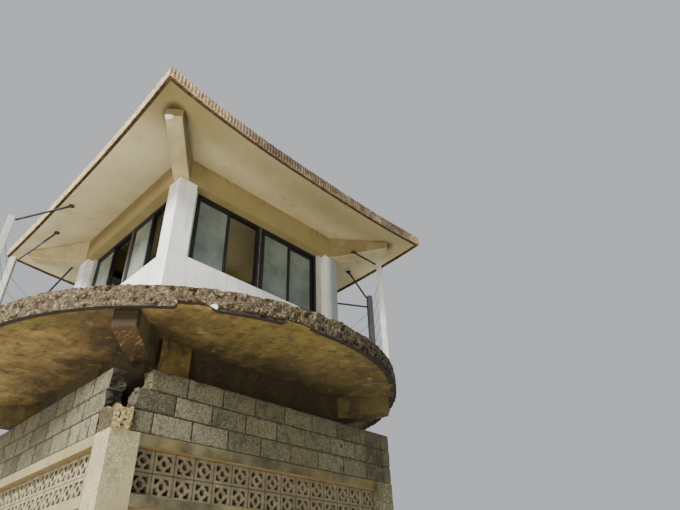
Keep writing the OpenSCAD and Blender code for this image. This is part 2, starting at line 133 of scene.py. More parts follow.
class Finish:
    """A material in the making: its shader, and places in the booth's frame in metres."""

    # From the place of one pattern in the noise to that of the next
    SHIFT = 3.7

    def __init__(self, name, colour, roughness, metallic=0.0, ior=1.5):
        self.mat = bpy.data.materials.new(name)
        self.mat.use_nodes = True
        self.tree = self.mat.node_tree
        self.shader = self.tree.nodes["Principled BSDF"]
        self.shader.inputs["Roughness"].default_value = roughness
        self.shader.inputs["Metallic"].default_value = metallic
        if not metallic:
            self.shader.inputs["IOR"].default_value = ior
        self.at = node(self.tree, "ShaderNodeTexCoord").outputs["Object"]
        self.geo = node(self.tree, "ShaderNodeNewGeometry")
        self.tint = linear(colour) if isinstance(colour, str) else colour
        self.normal = None
        self.seed = float(sum(map(ord, name)) % 97)

    def patches(self, mm, low, high, share=1.0, *where, stretch=(1.0, 1.0, 1.0), turn=0.0):
        """A mask of patches of a real size, cut between two levels of the noise."""
        self.seed += self.SHIFT
        place = node(self.tree, "ShaderNodeMapping", {
            "Vector": self.at, "Location": (self.seed,) * 3, "Scale": stretch,
            "Rotation": (0.0, 0.0, math.radians(turn))}).outputs[0]
        grain = node(self.tree, "ShaderNodeTexNoise", {
            "Vector": place, "Scale": 1000 / mm, "Detail": 6.0, "Roughness": 0.6})
        mask = node(self.tree, "ShaderNodeMapRange", {
            "Value": grain.outputs["Fac"], "From Min": low, "From Max": high,
            "To Max": share}).outputs["Result"]
        for other in where:
            mask = node(self.tree, "ShaderNodeMath", {0: mask, 1: other},
                        operation="MULTIPLY").outputs[0]
        return mask

    def lay(self, code, mask):
        """Lays a colour over what is there, where the mask says."""
        self.tint = node(self.tree, "ShaderNodeMix", {0: mask, 6: self.tint, 7: linear(code)},
                         data_type="RGBA").outputs[2]
        return self

    def coat(self, code, mm, low, high, share=1.0, *where, **more):
        """Lays a colour in patches, inside all the masks in where."""
        return self.lay(code, self.patches(mm, low, high, share, *where, **more))

    def zone(self, axis, start, end):
        """A mask that grows from 0 at start to 1 at end, along X, Y or Z."""
        place = node(self.tree, "ShaderNodeSeparateXYZ", {0: self.at})
        return node(self.tree, "ShaderNodeMapRange", {
            "Value": place.outputs[axis], "From Min": start, "From Max": end},
            interpolation_type="SMOOTHSTEP").outputs["Result"]

    def turned(self, axis, start, end):
        """A mask of the faces that look along an axis."""
        look = node(self.tree, "ShaderNodeSeparateXYZ", {0: self.geo.outputs["Normal"]})
        return node(self.tree, "ShaderNodeMapRange", {
            "Value": look.outputs[axis], "From Min": start, "From Max": end}).outputs["Result"]

    def within(self, centre, size, turn=0.0, soft=0.5):
        """A mask of an oval: 1 inside it, 0 from its edge out, or turned over if soft < 0."""
        place = node(self.tree, "ShaderNodeMapping", {
            "Vector": self.at, "Location": centre, "Scale": size,
            "Rotation": (0.0, 0.0, math.radians(turn))}, vector_type="TEXTURE").outputs[0]
        far = node(self.tree, "ShaderNodeVectorMath", {0: place}, operation="LENGTH")
        return node(self.tree, "ShaderNodeMapRange", {
            "Value": far.outputs["Value"], "From Min": 1.0, "From Max": 1.0 - soft},
            interpolation_type="SMOOTHSTEP").outputs["Result"]

    def stones(self, mm, light, dark, share, gap):
        """Stones of a real size in the face, each with its own tone, dark between them."""
        cells = node(self.tree, "ShaderNodeTexVoronoi", {"Vector": self.at, "Scale": 1000 / mm,
                                                         "Randomness": 0.9})
        tone = node(self.tree, "ShaderNodeSeparateXYZ", {0: cells.outputs["Color"]}).outputs[0]
        stone = node(self.tree, "ShaderNodeMix", {0: tone, 6: linear(dark), 7: linear(light)},
                     data_type="RGBA").outputs[2]
        self.tint = node(self.tree, "ShaderNodeMix", {0: share, 6: self.tint, 7: stone},
                         data_type="RGBA").outputs[2]
        edge = node(self.tree, "ShaderNodeMapRange", {
            "Value": cells.outputs["Distance"], "From Min": 0.45, "From Max": 0.75,
            "To Max": share}).outputs["Result"]
        self.lay(gap, edge)
        dome = node(self.tree, "ShaderNodeMapRange", {
            "Value": cells.outputs["Distance"], "From Min": 0.8, "From Max": 0.1})
        return self.press(dome.outputs["Result"], 3.0)

    def joints(self, code, axis, start, pitch, *where):
        """Dark joints 7 mm wide at a real pitch along X, Y or Z, broken up by the noise."""
        wide = 0.007
        place = node(self.tree, "ShaderNodeSeparateXYZ", {0: self.at}).outputs[axis]
        shifted = node(self.tree, "ShaderNodeMath", {0: place, 1: start}, operation="SUBTRACT")
        far = node(self.tree, "ShaderNodeMath", {0: shifted.outputs[0], 1: pitch / 2},
                   operation="PINGPONG").outputs[0]
        line = node(self.tree, "ShaderNodeMapRange", {
            "Value": far, "From Min": wide, "From Max": wide * 0.4}).outputs["Result"]
        self.lay(code, self.patches(40, 0.30, 0.45, 0.8, line, *where))
        return self.press(node(self.tree, "ShaderNodeMath", {0: 1.0, 1: line},
                               operation="SUBTRACT").outputs[0], 2.0)

    def press(self, height, depth):
        """Adds relief of a real depth in millimetres."""
        inputs = {"Height": height, "Distance": depth / 1000}
        if self.normal:
            inputs["Normal"] = self.normal
        self.normal = node(self.tree, "ShaderNodeBump", inputs).outputs["Normal"]
        return self

    def relief(self, mm, depth, **more):
        """Adds rough relief: the size of its lumps and their depth, in millimetres."""
        return self.press(self.patches(mm, 0.25, 0.75, **more), depth)

    def done(self):
        """Links the colour and the relief to the shader, and gives the material."""
        self.tree.links.new(self.tint, self.shader.inputs["Base Color"])
        if self.normal:
            self.tree.links.new(self.normal, self.shader.inputs["Normal"])
        return self.mat


def cream_paint():
    """Cream masonry paint, rolled on struck concrete: matt, clouded brown by damp, with painted
    shade round the corner beams and along the front.
    """
    f = Finish("cream_masonry_paint", chosen("cream"), 0.85)
    # Slow clouds of damp, darker brown under the near corner, and painted shade along the front
    f.coat("#A3936A", 900, 0.48, 0.66, 0.5)
    f.coat("#5F4F22", 1300, 0.10, 0.40, 0.88,
           f.within((-2.35, -2.55, Z_HEAD), (1.5, 1.5, 9.0), soft=0.9))
    f.coat("#786A36", 1300, 0.15, 0.45, 0.58, f.zone(1, -1.55, -2.0))
    f.coat("#8C7C52", 260, 0.56, 0.70, 0.35)
    # Painted shade: a dark halo on the soffit round each corner beam, darkest past its end
    for near, ((x, y), turn) in zip((1.0, 0.8, 0.8, 0.8), hip_lines()):
        for size, out, tone in ((0.62, 0.42, 0.6), (0.25, 0.88, 0.9)):
            f.coat("#3A2C12", 60, 0.16, 0.46, tone * near, f.within(
                (x * out + CAB * math.copysign(1 - out, x),
                 y * out + CAB * math.copysign(1 - out, y), Z_EAVE), (size, 0.18, 9.0), turn))
    # Paint lost in flakes near the edge of the roof
    f.coat("#E3DBC0", 30, 0.62, 0.66, 0.5, f.zone(2, ROOF_LOW[2] + 0.07, ROOF_LOW[2] + 0.03))
    f.coat("#6B5C3C", 14, 0.70, 0.75, 0.5)
    return f.relief(60, 1.5).relief(7, 0.8).done()


def beam_paint(worn=None):
    """The same cream paint on the ring beam and the corner beams, with more dirt on it, and
    painted shade on the beams' sides and along the top of the ring beam.
    """
    name = "worn_cream_masonry_paint" if worn else "damp_cream_masonry_paint"
    f = Finish(name, "#B3A67E" if worn else "#938556", 0.85)
    f.coat("#7E7048", 340, 0.42, 0.62, 0.45, stretch=(1.0, 1.0, 0.7))
    f.coat("#8C7C52", 160, 0.54, 0.68, 0.4)
    if worn:
        # Painted shade on the sides and the end of the front beams, and a white patch at one end
        f.coat("#6B5F38", 200, 0.10, 0.42, 0.8, f.turned(2, -0.6, -0.2), f.zone(1, 0.6, -0.4))
        f.coat("#DFE0DA", 30, 0.20, 0.40, 0.95,
               f.within(worn, (0.075, 0.05, 0.030), -50.0, 0.3))
    else:
        # Painted shade of the roof along the top of the beam's left face
        f.coat("#5F5230", 300, 0.14, 0.44, 0.7,
               f.zone(2, Z_EAVE - 0.30, Z_EAVE - 0.10), f.turned(0, -0.4, -0.9))
        # Old drips from the joint over the beam
        drips = f.zone(2, Z_EAVE - 0.16, Z_EAVE - 0.005), f.turned(2, -0.5, -0.1)
        f.coat("#6A5B36", 90, 0.48, 0.66, 0.75, *drips, stretch=(1.0, 1.0, 0.35))
    f.coat("#5C4D2E", 14, 0.68, 0.74, 0.5)
    return f.relief(60, 1.5).relief(7, 0.8).done()


def white_paint():
    """White masonry paint on steel-trowelled render: bright, matt, greyed and speckled."""
    f = Finish("white_masonry_paint", chosen("white"), 0.8)
    f.coat("#C2C5BE", 500, 0.46, 0.68, 0.6)
    # Rain streaks under the sill and at the post heads
    f.coat("#A9ADA2", 60, 0.52, 0.70, 0.6, stretch=(1.0, 1.0, 0.12))
    # The right-hand post, greyed: painted shade of the roof
    f.coat("#747F80", 500, 0.06, 0.30, 0.85, f.zone(0, 1.15, 1.3), f.zone(1, -1.1, -1.25))
    # Splashes off the deck and black mould spots
    f.coat("#A6A290", 120, 0.45, 0.62, 0.7, f.zone(2, Z_DECK + 0.32, Z_DECK))
    f.coat("#5E5B4C", 14, 0.60, 0.66, 0.7,
           f.zone(2, Z_DECK + 0.7, Z_DECK + 0.1), f.turned(1, -0.3, -0.8))
    f.coat("#7E7C70", 10, 0.66, 0.72, 0.7, f.patches(300, 0.50, 0.62))
    return f.relief(90, 1.2).relief(5, 0.5).done()


def cement_plaster(damp=False):
    """Sand and cement plaster, floated by hand: grainy, grey in the weather, rusty below."""
    name = "damp_sand_cement_plaster" if damp else "sand_cement_plaster"
    f = Finish(name, chosen("plaster"), 0.92)
    if damp:
        # The front faces near black: painted shade of the slab above them; and olive-green
        # clouds
        f.coat("#28250F", 300, 0.08, 0.34, 0.96, f.turned(1, 0.2, -0.8))
        f.coat("#7E7340", 500, 0.46, 0.62, 0.6)
    f.coat("#7D775C", 420, 0.42, 0.66, 0.6)
    f.coat("#5F583E", 150, 0.52, 0.68, 0.5, stretch=(1.0, 1.0, 0.3))
    # The right-hand column of the front, made darker
    f.coat("#45412A", 300, 0.12, 0.42, 0.8, f.zone(0, 1.45, 1.52), f.zone(1, -1.4, -1.55))
    # Splashes off the ground at the foot
    f.coat("#5B5236", 180, 0.30, 0.56, 0.75, f.zone(2, 0.55, 0.05))
    # Old limewash in flakes of 15 mm, gone where it is damp, and pits between them
    flakes = 0.0 if damp else 0.5
    f.coat("#CFC7AA", 15, 0.53, 0.59, flakes, f.patches(260, 0.44, 0.58))
    f.coat("#5F5638", 16, 0.58, 0.66, 0.6)
    # The underside keeps the rust and the ochre of the old formwork
    f.coat("#7F6226", 160, 0.30, 0.62, 0.85, f.turned(2, -0.3, -0.8))
    return f.relief(35, 2.5).relief(14, 1.8).relief(4, 1.0).done()


def vent_cement():
    """Cement vent blocks, pressed in a mould: dull grey-cream with a sandy, pitted face."""
    f = Finish("moulded_vent_cement", "#8A8167", 0.92)
    f.coat("#A89F83", 110, 0.48, 0.62, 0.6)
    # The front stands in the shade of the slab and keeps the damp
    f.coat("#544B33", 240, 0.20, 0.50, 0.55, f.turned(1, -0.2, -0.9))
    f.coat("#5F543A", 70, 0.50, 0.66, 0.55)
    f.coat("#7A5E38", 160, 0.56, 0.68, 0.35)
    f.coat("#2F2818", 22, 0.58, 0.66, 0.6)
    low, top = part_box("vent_screen_front")
    wide, high = (top[0] - low[0]) / VENT_COLS, (top[2] - low[2]) / VENT_ROWS
    f.joints("#2C2516", 0, low[0], wide, f.turned(1, -0.5, -0.9))
    f.joints("#2C2516", 1, low[0], wide, f.turned(0, -0.5, -0.9))
    f.joints("#2C2516", 2, low[2], high)
    return f.relief(18, 2.0).relief(4, 1.2).done()


def concrete_block():
    """Hollow concrete block, pressed from no-slump mix: open, coarse, each its own tone."""
    f = Finish("pressed_concrete_block", chosen("block"), 0.95)
    tone = node(f.tree, "ShaderNodeAttribute", attribute_name="tone").outputs["Fac"]
    f.tint = node(f.tree, "ShaderNodeMix", {0: tone, 6: linear("#423E2C"), 7: f.tint},
                  data_type="RGBA").outputs[2]
    f.coat("#615C3D", 330, 0.47, 0.62, 0.6)
    f.coat("#37331F", 140, 0.54, 0.62, 0.6)
    # Darker along the top, under the slab, and rain that runs in streaks from joint to joint
    f.coat("#3E3824", 240, 0.35, 0.60, 0.7, f.zone(2, Z_TIE - 0.12, Z_TIE))
    f.coat("#343019", 60, 0.55, 0.68, 0.5, stretch=(1.0, 1.0, 0.25))
    # Open grit, drawn at 16 mm where the real grains are 6 to 10 mm
    f.coat("#262216", 16, 0.52, 0.58, 0.6)
    f.coat("#A19D86", 15, 0.55, 0.62, 0.3)
    # Near black on the broken ends of the left wall
    f.coat("#1C160D", 60, 0.10, 0.40, 0.92, f.turned(1, -0.4, -0.8),
           f.zone(1, -BASE + 0.01, -BASE + 0.05), f.zone(0, -1.3, -1.45))
    # The damp stain at the front's right end
    f.coat("#2A2617", 130, 0.20, 0.50, 0.75,
           f.within((1.5, -BASE, 3.16), (0.26, 0.3, 0.42), soft=0.6))
    for place, size in BLOCK_HOLES:
        f.lay("#0C0A07", f.within(place, size, soft=0.3))
    return f.relief(22, 2.5).relief(8, 2.5).done()


def bed_mortar():
    """Bed mortar, struck back from the face: darker than the blocks and crumbly."""
    f = Finish("struck_bed_mortar", "#3A3523", 0.95)
    f.coat("#6A644C", 60, 0.54, 0.66, 0.6)
    f.coat("#26221A", 30, 0.54, 0.64, 0.8)
    return f.relief(9, 3.0).done()


def broken_concrete():
    """Broken concrete and mortar fill: pale fresh grit in front, brown honeycomb behind."""
    f = Finish("broken_concrete_fill", "#B5A572", 0.95)
    f.coat("#857142", 40, 0.46, 0.58, 0.75)
    f.coat("#D3C59A", 30, 0.56, 0.62, 0.6)
    f.coat("#3B3018", 50, 0.14, 0.36, 0.92, f.turned(0, -0.2, -0.6))
    f.coat("#241A0F", 28, 0.55, 0.60, 0.9)
    return f.relief(14, 4.0).relief(5, 2.0).done()


def damp_concrete():
    """Board-marked concrete that stays damp: near black-brown with paler runs of lime."""
    f = Finish("damp_board_marked_concrete", "#2D240A", 0.9)
    f.coat("#41361A", 300, 0.46, 0.62, 0.55)
    f.coat("#241D12", 120, 0.50, 0.64, 0.8, stretch=(1.0, 1.0, 0.5))
    f.coat("#564B2C", 60, 0.58, 0.68, 0.5)
    # Marks of boards 100 mm wide
    return f.relief(100, 3.0, stretch=(0.05, 0.05, 1.0)).relief(6, 1.5).done()


def bracket_concrete():
    """Old plastered concrete under the slab: ochre and rust below, painted shade black at the
    ends.
    """
    f = Finish("stained_bracket_concrete", "#4C4422", 0.92)
    f.coat("#585030", 200, 0.46, 0.62, 0.7)
    f.coat("#422F0E", 130, 0.22, 0.48, 0.92, f.turned(2, -0.4, -0.9))
    f.coat("#6E4A1E", 60, 0.54, 0.64, 0.5, f.turned(2, -0.4, -0.9))
    f.coat("#33270F", 160, 0.40, 0.56, 0.8,
           f.within((0.0, 0.0, 0.0), (2.42, 2.42, 99.0), soft=0.08))
    # The end faces, painted black: painted shade under the lip
    f.coat("#2B1D0E", 40, 0.14, 0.36, 0.96,
           f.within((0.0, 0.0, 0.0), (2.56, 2.56, 99.0), soft=-0.015), f.turned(2, -0.8, -0.3))
    f.coat("#4A3B24", 30, 0.62, 0.70, 0.5)
    # Dust in short pale scratches
    for turn in (30.0, -25.0):
        f.coat("#B79A60", 22, 0.60, 0.65, 0.5, f.turned(2, -0.4, -0.9),
               stretch=(1.0, 0.12, 1.0), turn=turn)
    return f.relief(45, 4.0).relief(7, 1.5).done()


def pale_facing():
    """Lime plaster left on the beam: yellow-green and flaking at its borders."""
    f = Finish("yellowed_lime_plaster", "#6B5A2C", 0.9)
    f.coat("#4F4220", 140, 0.46, 0.62, 0.75)
    f.coat("#8C8050", 60, 0.58, 0.66, 0.55)
    f.coat("#3A2E17", 80, 0.50, 0.62, 0.8, stretch=(1.0, 1.0, 0.4))
    # The left-hand piece is browner
    f.coat("#33270F", 200, 0.10, 0.36, 0.92, f.turned(0, -0.3, -0.8))
    return f.relief(40, 2.5).relief(6, 1.2).done()


def soffit_plaster():
    """Plastered slab soffit, painted once: olive-yellow with brown damp and mould streaks."""
    f = Finish("mouldy_soffit_plaster", chosen("olive"), 0.92)
    f.coat("#B5945A", 700, 0.40, 0.58, 0.75, f.zone(0, -0.9, -1.8))
    f.coat("#55461E", 420, 0.42, 0.64, 0.66)
    f.coat("#5E4420", 230, 0.48, 0.66, 0.52)
    # Mould streaks along the formwork boards, 45 mm wide
    f.coat("#41351A", 45, 0.52, 0.66, 0.45, stretch=(1.0, 0.2, 1.0), turn=18.0)
    f.coat("#382D14", 16, 0.55, 0.65, 0.55)
    f.coat("#A39250", 22, 0.60, 0.68, 0.4)
    f.coat("#2F2512", 130, 0.53, 0.66, 0.6)
    # Darker towards the beams and to the right, paler in a band inside the lip
    f.coat("#33270F", 360, 0.26, 0.56, 0.85,
           f.within((SLAB_X, 0.0, 0.0), (2.3, 2.3, 99.0), soft=0.3))
    f.coat("#33290F", 300, 0.28, 0.54, 0.74, f.zone(0, 0.0, 1.3))
    # Brown damp on the left, near the broken corner
    f.coat("#3B2912", 420, 0.16, 0.44, 0.80,
           f.within((-1.66, -1.40, 0.0), (0.78, 0.78, 99.0), soft=0.7))
    f.coat("#9A8850", 120, 0.58, 0.68, 0.4)
    return f.relief(180, 6.0).relief(30, 2.5).relief(6, 1.0).done()


def rim_aggregate():
    """Exposed aggregate concrete, its cement washed off: 17 mm stones, dark pits."""
    f = Finish("exposed_aggregate_concrete", "#4E422C", 0.93)
    f.stones(17, "#8E7D56", "#2E2517", 0.62, "#2E261B")
    f.coat("#4A3F2A", 160, 0.42, 0.60, 0.7)
    f.coat("#54462C", 300, 0.30, 0.52, 0.55, f.zone(0, -0.9, -1.6))
    # Mould blackens the side that the weather reaches
    f.coat("#1F1912", 150, 0.30, 0.52, 0.90, f.zone(0, -0.1, 1.35))
    f.coat("#BCAB86", 32, 0.57, 0.63, 0.55)
    # Pits where stones have dropped out
    f.coat("#1D1710", 30, 0.53, 0.58, 0.85)
    f.coat("#241C12", 75, 0.56, 0.61, 0.75)
    # Black holes along the broken edge, and one fresh white break beside it
    f.coat("#120D08", 50, 0.44, 0.54, 0.9, f.zone(2, Z_SOFFIT + 0.07, Z_SOFFIT),
           f.zone(0, -0.7, -0.2), f.turned(1, 0.0, -0.3))
    a = math.radians(WHITE_BREAK)
    place = SLAB_X + SLAB_R * math.cos(a), SLAB_R * math.sin(a), SLAB_LOW[2] + 0.035
    f.coat("#E9E2D2", 12, 0.20, 0.40, 0.95, f.within(place, (0.05, 0.05, 0.03), soft=0.4))
    return f.relief(12, 4.0).relief(40, 5.0).done()


def drip_edge():
    """The underside of the lip and its undercut: raw concrete that drips, nearly black with
    mould and with painted shade.
    """
    f = Finish("mouldy_drip_concrete", "#2B2013", 0.95)
    f.coat("#46371F", 90, 0.56, 0.68, 0.4)
    f.coat("#19130C", 40, 0.48, 0.62, 0.8)
    return f.relief(14, 4.0).done()


def deck_concrete():
    """Trowelled concrete out in the weather, on the deck and the roof: grey, moulded dark."""
    name = "weathered_trowelled_concrete"
    if name in bpy.data.materials:
        return bpy.data.materials[name]
    f = Finish(name, "#8D8672", 0.92)
    f.coat("#5A5444", 600, 0.40, 0.64, 0.65)
    f.coat("#3B3526", 90, 0.54, 0.68, 0.5)
    f.coat("#B4AD98", 50, 0.60, 0.68, 0.5)
    return f.relief(120, 3.0).relief(8, 1.5).done()


def fascia_pebbles():
    """Washed pebble render on the roof's edge: pinkish cream stones, brown in the joints."""
    f = Finish("washed_pebble_render", "#C2A97F", 0.9)
    # Drawn at 17 mm, where the real pebbles are about 10 mm
    f.stones(17, "#DFCBA2", "#866A45", 0.6, "#5E472E")
    f.coat("#8F6F48", 200, 0.46, 0.62, 0.55)
    f.coat("#4A3A26", 45, 0.54, 0.64, 0.7)
    # The front edge is darker between its two corners
    f.coat("#45392A", 260, 0.20, 0.46, 0.88,
           f.zone(0, -1.75, -0.7), f.zone(0, 2.28, 1.8), f.turned(1, -0.3, -0.8))
    f.coat("#4A3A25", 60, 0.40, 0.62, 0.7, f.turned(2, -0.2, -0.7))
    return f.relief(9, 2.0).done()


def drip_groove():
    """The drip groove under the roof's edge: bare concrete, brown with running damp, and darker
    with painted shade.
    """
    f = Finish("damp_drip_groove", "#4C3A22", 0.95)
    f.coat("#7B6440", 80, 0.50, 0.66, 0.6)
    f.coat("#1E160D", 50, 0.46, 0.62, 0.7)
    return f.relief(12, 2.0).done()


def jamb_render():
    """Render beside the windows, grey-green: painted shade of the recess between post and frame,
    thin and streaked.
    """
    f = Finish("brushed_oil_paint", "#B4BAB0", 0.7)
    f.coat("#7F877C", 80, 0.48, 0.66, 0.6, stretch=(1.0, 1.0, 0.2))
    f.coat("#C6C9C0", 40, 0.60, 0.68, 0.5)
    return f.relief(12, 0.8, stretch=(1.0, 1.0, 0.15)).done()


def coated_aluminium():
    """Black powder-coated aluminium, extruded: satin and smooth, chalked grey by dust."""
    f = Finish("black_powder_coated_aluminium", chosen("frame"), 0.5)
    f.coat("#262523", 260, 0.52, 0.70, 0.5)
    f.coat("#6E695C", 40, 0.58, 0.68, 0.6, f.turned(2, 0.3, 0.9))
    f.coat("#3B3834", 16, 0.68, 0.74, 0.3)
    return f.relief(3, 0.15).done()


def dusty_glass():
    """Float glass with years of dust: grey-green, half clear, with wiped and dripped marks."""
    f = Finish("dusty_float_glass", chosen("glass"), 0.22, ior=1.45)
    f.shader.inputs["Transmission Weight"].default_value = 0.45
    f.coat("#A2AEA6", 420, 0.38, 0.60, 0.75)
    f.coat("#6B766D", 260, 0.50, 0.70, 0.4, stretch=(1.0, 1.0, 0.4))
    f.coat("#B9C0B6", 30, 0.60, 0.70, 0.35, stretch=(1.0, 1.0, 0.2))
    return f.relief(600, 1.0).done()


def rubber_bead():
    """Black glazing rubber, extruded: dull and a little dusty."""
    f = Finish("glazing_rubber", "#17171A", 0.7)
    f.coat("#45433E", 30, 0.52, 0.68, 0.6)
    return f.relief(4, 0.3).done()


def old_sealant():
    """Silicone run on by gun: grey, uneven and picked off in places."""
    f = Finish("gunned_silicone", "#7C7A70", 0.6, ior=1.43)
    f.coat("#C7C4B6", 30, 0.52, 0.62, 0.7)
    f.coat("#2C2A26", 22, 0.56, 0.64, 0.8)
    return f.relief(9, 1.0).done()


def post_paint():
    """Limewash on cast concrete posts: chalk white, with painted shade grey on the upper part
    and painted sunlight white on the lower part.
    """
    f = Finish("limewashed_concrete", "#C4C2BC", 0.88)
    f.coat("#A5A198", 300, 0.44, 0.60, 0.5)
    # Painted shade of the roof: greyer on the upper part
    f.coat("#8A857B", 260, 0.16, 0.44, 0.7, f.zone(2, Z_DECK + 0.75, Z_DECK + 1.2))
    f.coat("#757065", 60, 0.56, 0.68, 0.5, stretch=(1.0, 1.0, 0.3))
    # Painted sunlight: whiter on the lower part
    f.coat("#F0EFEA", 120, 0.52, 0.62, 0.5, f.zone(2, Z_DECK + 1.0, Z_DECK + 0.7))
    # The right-hand ones have kept a blue-grey undercoat
    f.coat("#4C535B", 400, 0.10, 0.40, 0.85, f.zone(1, -1.75, -1.5), f.zone(0, 1.4, 1.7))
    return f.relief(30, 2.0).relief(6, 1.0).done()


def painted_steel():
    """Steel bar under dark blue-grey gloss, brushed on: dulled, with spots of rust."""
    f = Finish("brushed_gloss_on_steel", "#2A2F35", 0.5)
    f.coat("#454B50", 120, 0.52, 0.68, 0.5)
    f.coat("#5A3B22", 40, 0.54, 0.64, 0.85)
    f.coat("#2A1C12", 14, 0.62, 0.70, 0.7)
    return f.relief(10, 0.6).done()


def rusty_plate():
    """Mild steel plate bedded in mortar: dark, rough rust in two browns."""
    f = Finish("rusted_mild_steel", "#2A2018", 0.85)
    f.coat("#553A22", 20, 0.50, 0.64, 0.7)
    f.coat("#17120D", 30, 0.54, 0.66, 0.7)
    return f.relief(6, 1.0).done()


def galvanised_wire():
    """Hot-dip galvanised wire, drawn: dull silver with dark patches of spent zinc."""
    f = Finish("galvanised_steel_wire", "#8B8F91", 0.48, metallic=1.0)
    f.coat("#5C5A55", 60, 0.48, 0.62, 0.8)
    f.coat("#6A4A30", 25, 0.60, 0.68, 0.8)
    return f.relief(8, 0.2).done()


def floor_paint():
    """Studio floor paint, rolled: plain, pale and matt, very faintly clouded."""
    return Finish("floor_paint", "#E2E0DA", 0.9).coat("#DAD8D2", 2000, 0.4, 0.6).done()


def lumps(points, mm, seed=0):
    """Smooth random lumps of a real size, from -1 to 1, at each point."""
    q = points.reshape(-1, 3) * (1000.0 / mm) + seed * 17.31
    i = np.floor(q).astype(np.int64)
    f = q - i
    f = f * f * (3 - 2 * f)
    total = np.zeros(len(q))
    for corner in range(8):
        step = np.array([corner & 1, corner >> 1 & 1, corner >> 2])
        c = i + step
        # Large odd numbers scatter the corners' values evenly
        h = (c[:, 0] * 73856093) ^ (c[:, 1] * 19349663) ^ (c[:, 2] * 83492791)
        h = (h ^ (h >> 13)) * 1274126177
        h = (h ^ (h >> 16)) & 0xFFFF
        w = np.prod(np.where(step == 1, f, 1 - f), axis=1)
        total += w * (h / 32767.5 - 1)
    return total.reshape(points.shape[:-1])


def smooth(x, low, high):
    """A step from 0 at low to 1 at high, rounded at both ends."""
    t = np.clip((x - low) / (high - low), 0, 1)
    return t * t * (3 - 2 * t)


def ring_faces(rings, corners, closed=False):
    """Faces between rings of points, the last joined to the first where it is closed."""
    return [[r * corners + c, r * corners + (c + 1) % corners,
             (r + 1) % rings * corners + (c + 1) % corners, (r + 1) % rings * corners + c]
            for r in range(rings if closed else rings - 1) for c in range(corners)]


def skin(rings):
    """Points and faces of a closed skin over rings of points, with a fan at each end."""
    m, n = rings.shape[:2]
    last = (m - 1) * n
    points = np.vstack([rings.reshape(-1, 3), rings[0].mean(0), rings[-1].mean(0)])
    faces = ring_faces(m, n)
    faces += [[m * n, (c + 1) % n, c] for c in range(n)]
    faces += [[last + c, last + (c + 1) % n, m * n + 1] for c in range(n)]
    return points, faces


def grid_box(low, top, steps):
    """A box whose sides are grids, as points and faces."""
    n = np.array(steps)
    grid = np.stack(np.meshgrid(*(np.arange(s + 1) for s in n), indexing="ij"), -1)
    edge = ((grid == 0) | (grid == n)).any(-1)
    index = np.full(edge.shape, -1)
    index[edge] = np.arange(edge.sum())
    faces = []
    for axis in range(3):
        for end in (0, n[axis]):
            side = np.take(index, end, axis=axis)
            quads = np.stack([side[:-1, :-1], side[1:, :-1], side[1:, 1:], side[:-1, 1:]], -1)
            faces += quads.reshape(-1, 4).tolist()
    return low + grid[edge] / n * (top - low), faces


def ball(subdivisions):
    """Points and faces of a ball of radius 1."""
    bm = bmesh.new()
    bmesh.ops.create_icosphere(bm, subdivisions=subdivisions, radius=1.0)
    points = np.array([v.co for v in bm.verts])
    faces = [[v.index for v in f.verts] for f in bm.faces]
    bm.free()
    return points, faces


class Batch:
    """Many small solids that are joined into one piece."""

    def __init__(self):
        self.points, self.faces, self.kinds, self.total = [], [], [], 0

    def add(self, points, faces, kind=0):
        """Adds a solid, with the number of its material."""
        self.faces += [[i + self.total for i in face] for face in faces]
        self.points.append(points)
        self.kinds += [kind] * len(faces)
        self.total += len(points)

    def joined(self):
        """The points and faces of all the solids."""
        return np.vstack(self.points), self.faces


def piece(name, points, faces, mats, slot, kinds=None, shade=False):
    """A new piece from points and faces, its normals outward, riding on the booth."""
    mesh = bpy.data.meshes.new(name)
    mesh.from_pydata(np.asarray(points, float).tolist(), [], faces)
    for mat in mats:
        mesh.materials.append(mat)
    if kinds is not None:
        mesh.polygons.foreach_set("material_index", np.asarray(kinds, np.int32))
    bm = bmesh.new()
    bm.from_mesh(mesh)
    bmesh.ops.recalc_face_normals(bm, faces=bm.faces)
    bm.to_mesh(mesh)
    bm.free()
    mesh.polygons.foreach_set("use_smooth", np.full(len(mesh.polygons), shade))
    obj = bpy.data.objects.new(name, mesh)
    bpy.context.scene.collection.objects.link(obj)
    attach(obj, "root")
    return obj


def solids(name):
    """The points of each separate solid in a CAD node."""
    mesh = NODES[name].data
    co = np.empty(len(mesh.vertices) * 3)
    mesh.vertices.foreach_get("co", co)
    co = co.reshape(-1, 3)
    keys = {}
    same = [keys.setdefault(tuple(p), i) for i, p in enumerate(np.round(co, 5).tolist())]
    root = list(range(len(co)))

    def find(i):
        while root[i] != i:
            root[i] = root[root[i]]
            i = root[i]
        return i

    for i, s in enumerate(same):
        root[find(i)] = find(s)
    for e in mesh.edges:
        root[find(e.vertices[0])] = find(e.vertices[1])
    groups = {}
    for i in range(len(co)):
        groups.setdefault(find(i), []).append(i)
    return [co[g] for g in sorted(groups.values())]


def axis_ends(points):
    """The two ends of a straight bar's middle line."""
    mid = (points.max(0) + points.min(0)) / 2
    u = np.linalg.svd(points - points.mean(0), full_matrices=False)[2][0]
    reach = (points - mid) @ u
    return mid + u * reach.min(), mid + u * reach.max()


def dress(mat, *starts):
    """Gives a finish to every CAD node whose name starts so."""
    for name, obj in NODES.items():
        if name.startswith(starts):
            obj.data.materials.clear()
            obj.data.materials.append(mat)


def ease(mm, *starts):
    """Takes the sharpness off the arrises of CAD nodes, as casting and wear do."""
    for name, obj in NODES.items():
        if name.startswith(starts):
            weld = obj.modifiers.new("weld", "WELD")
            weld.merge_threshold = 0.0001
            bevel = obj.modifiers.new("arris", "BEVEL")
            bevel.width = mm / 1000
            bevel.segments = 2
            bevel.limit_method = "ANGLE"
            bevel.angle_limit = math.radians(40)


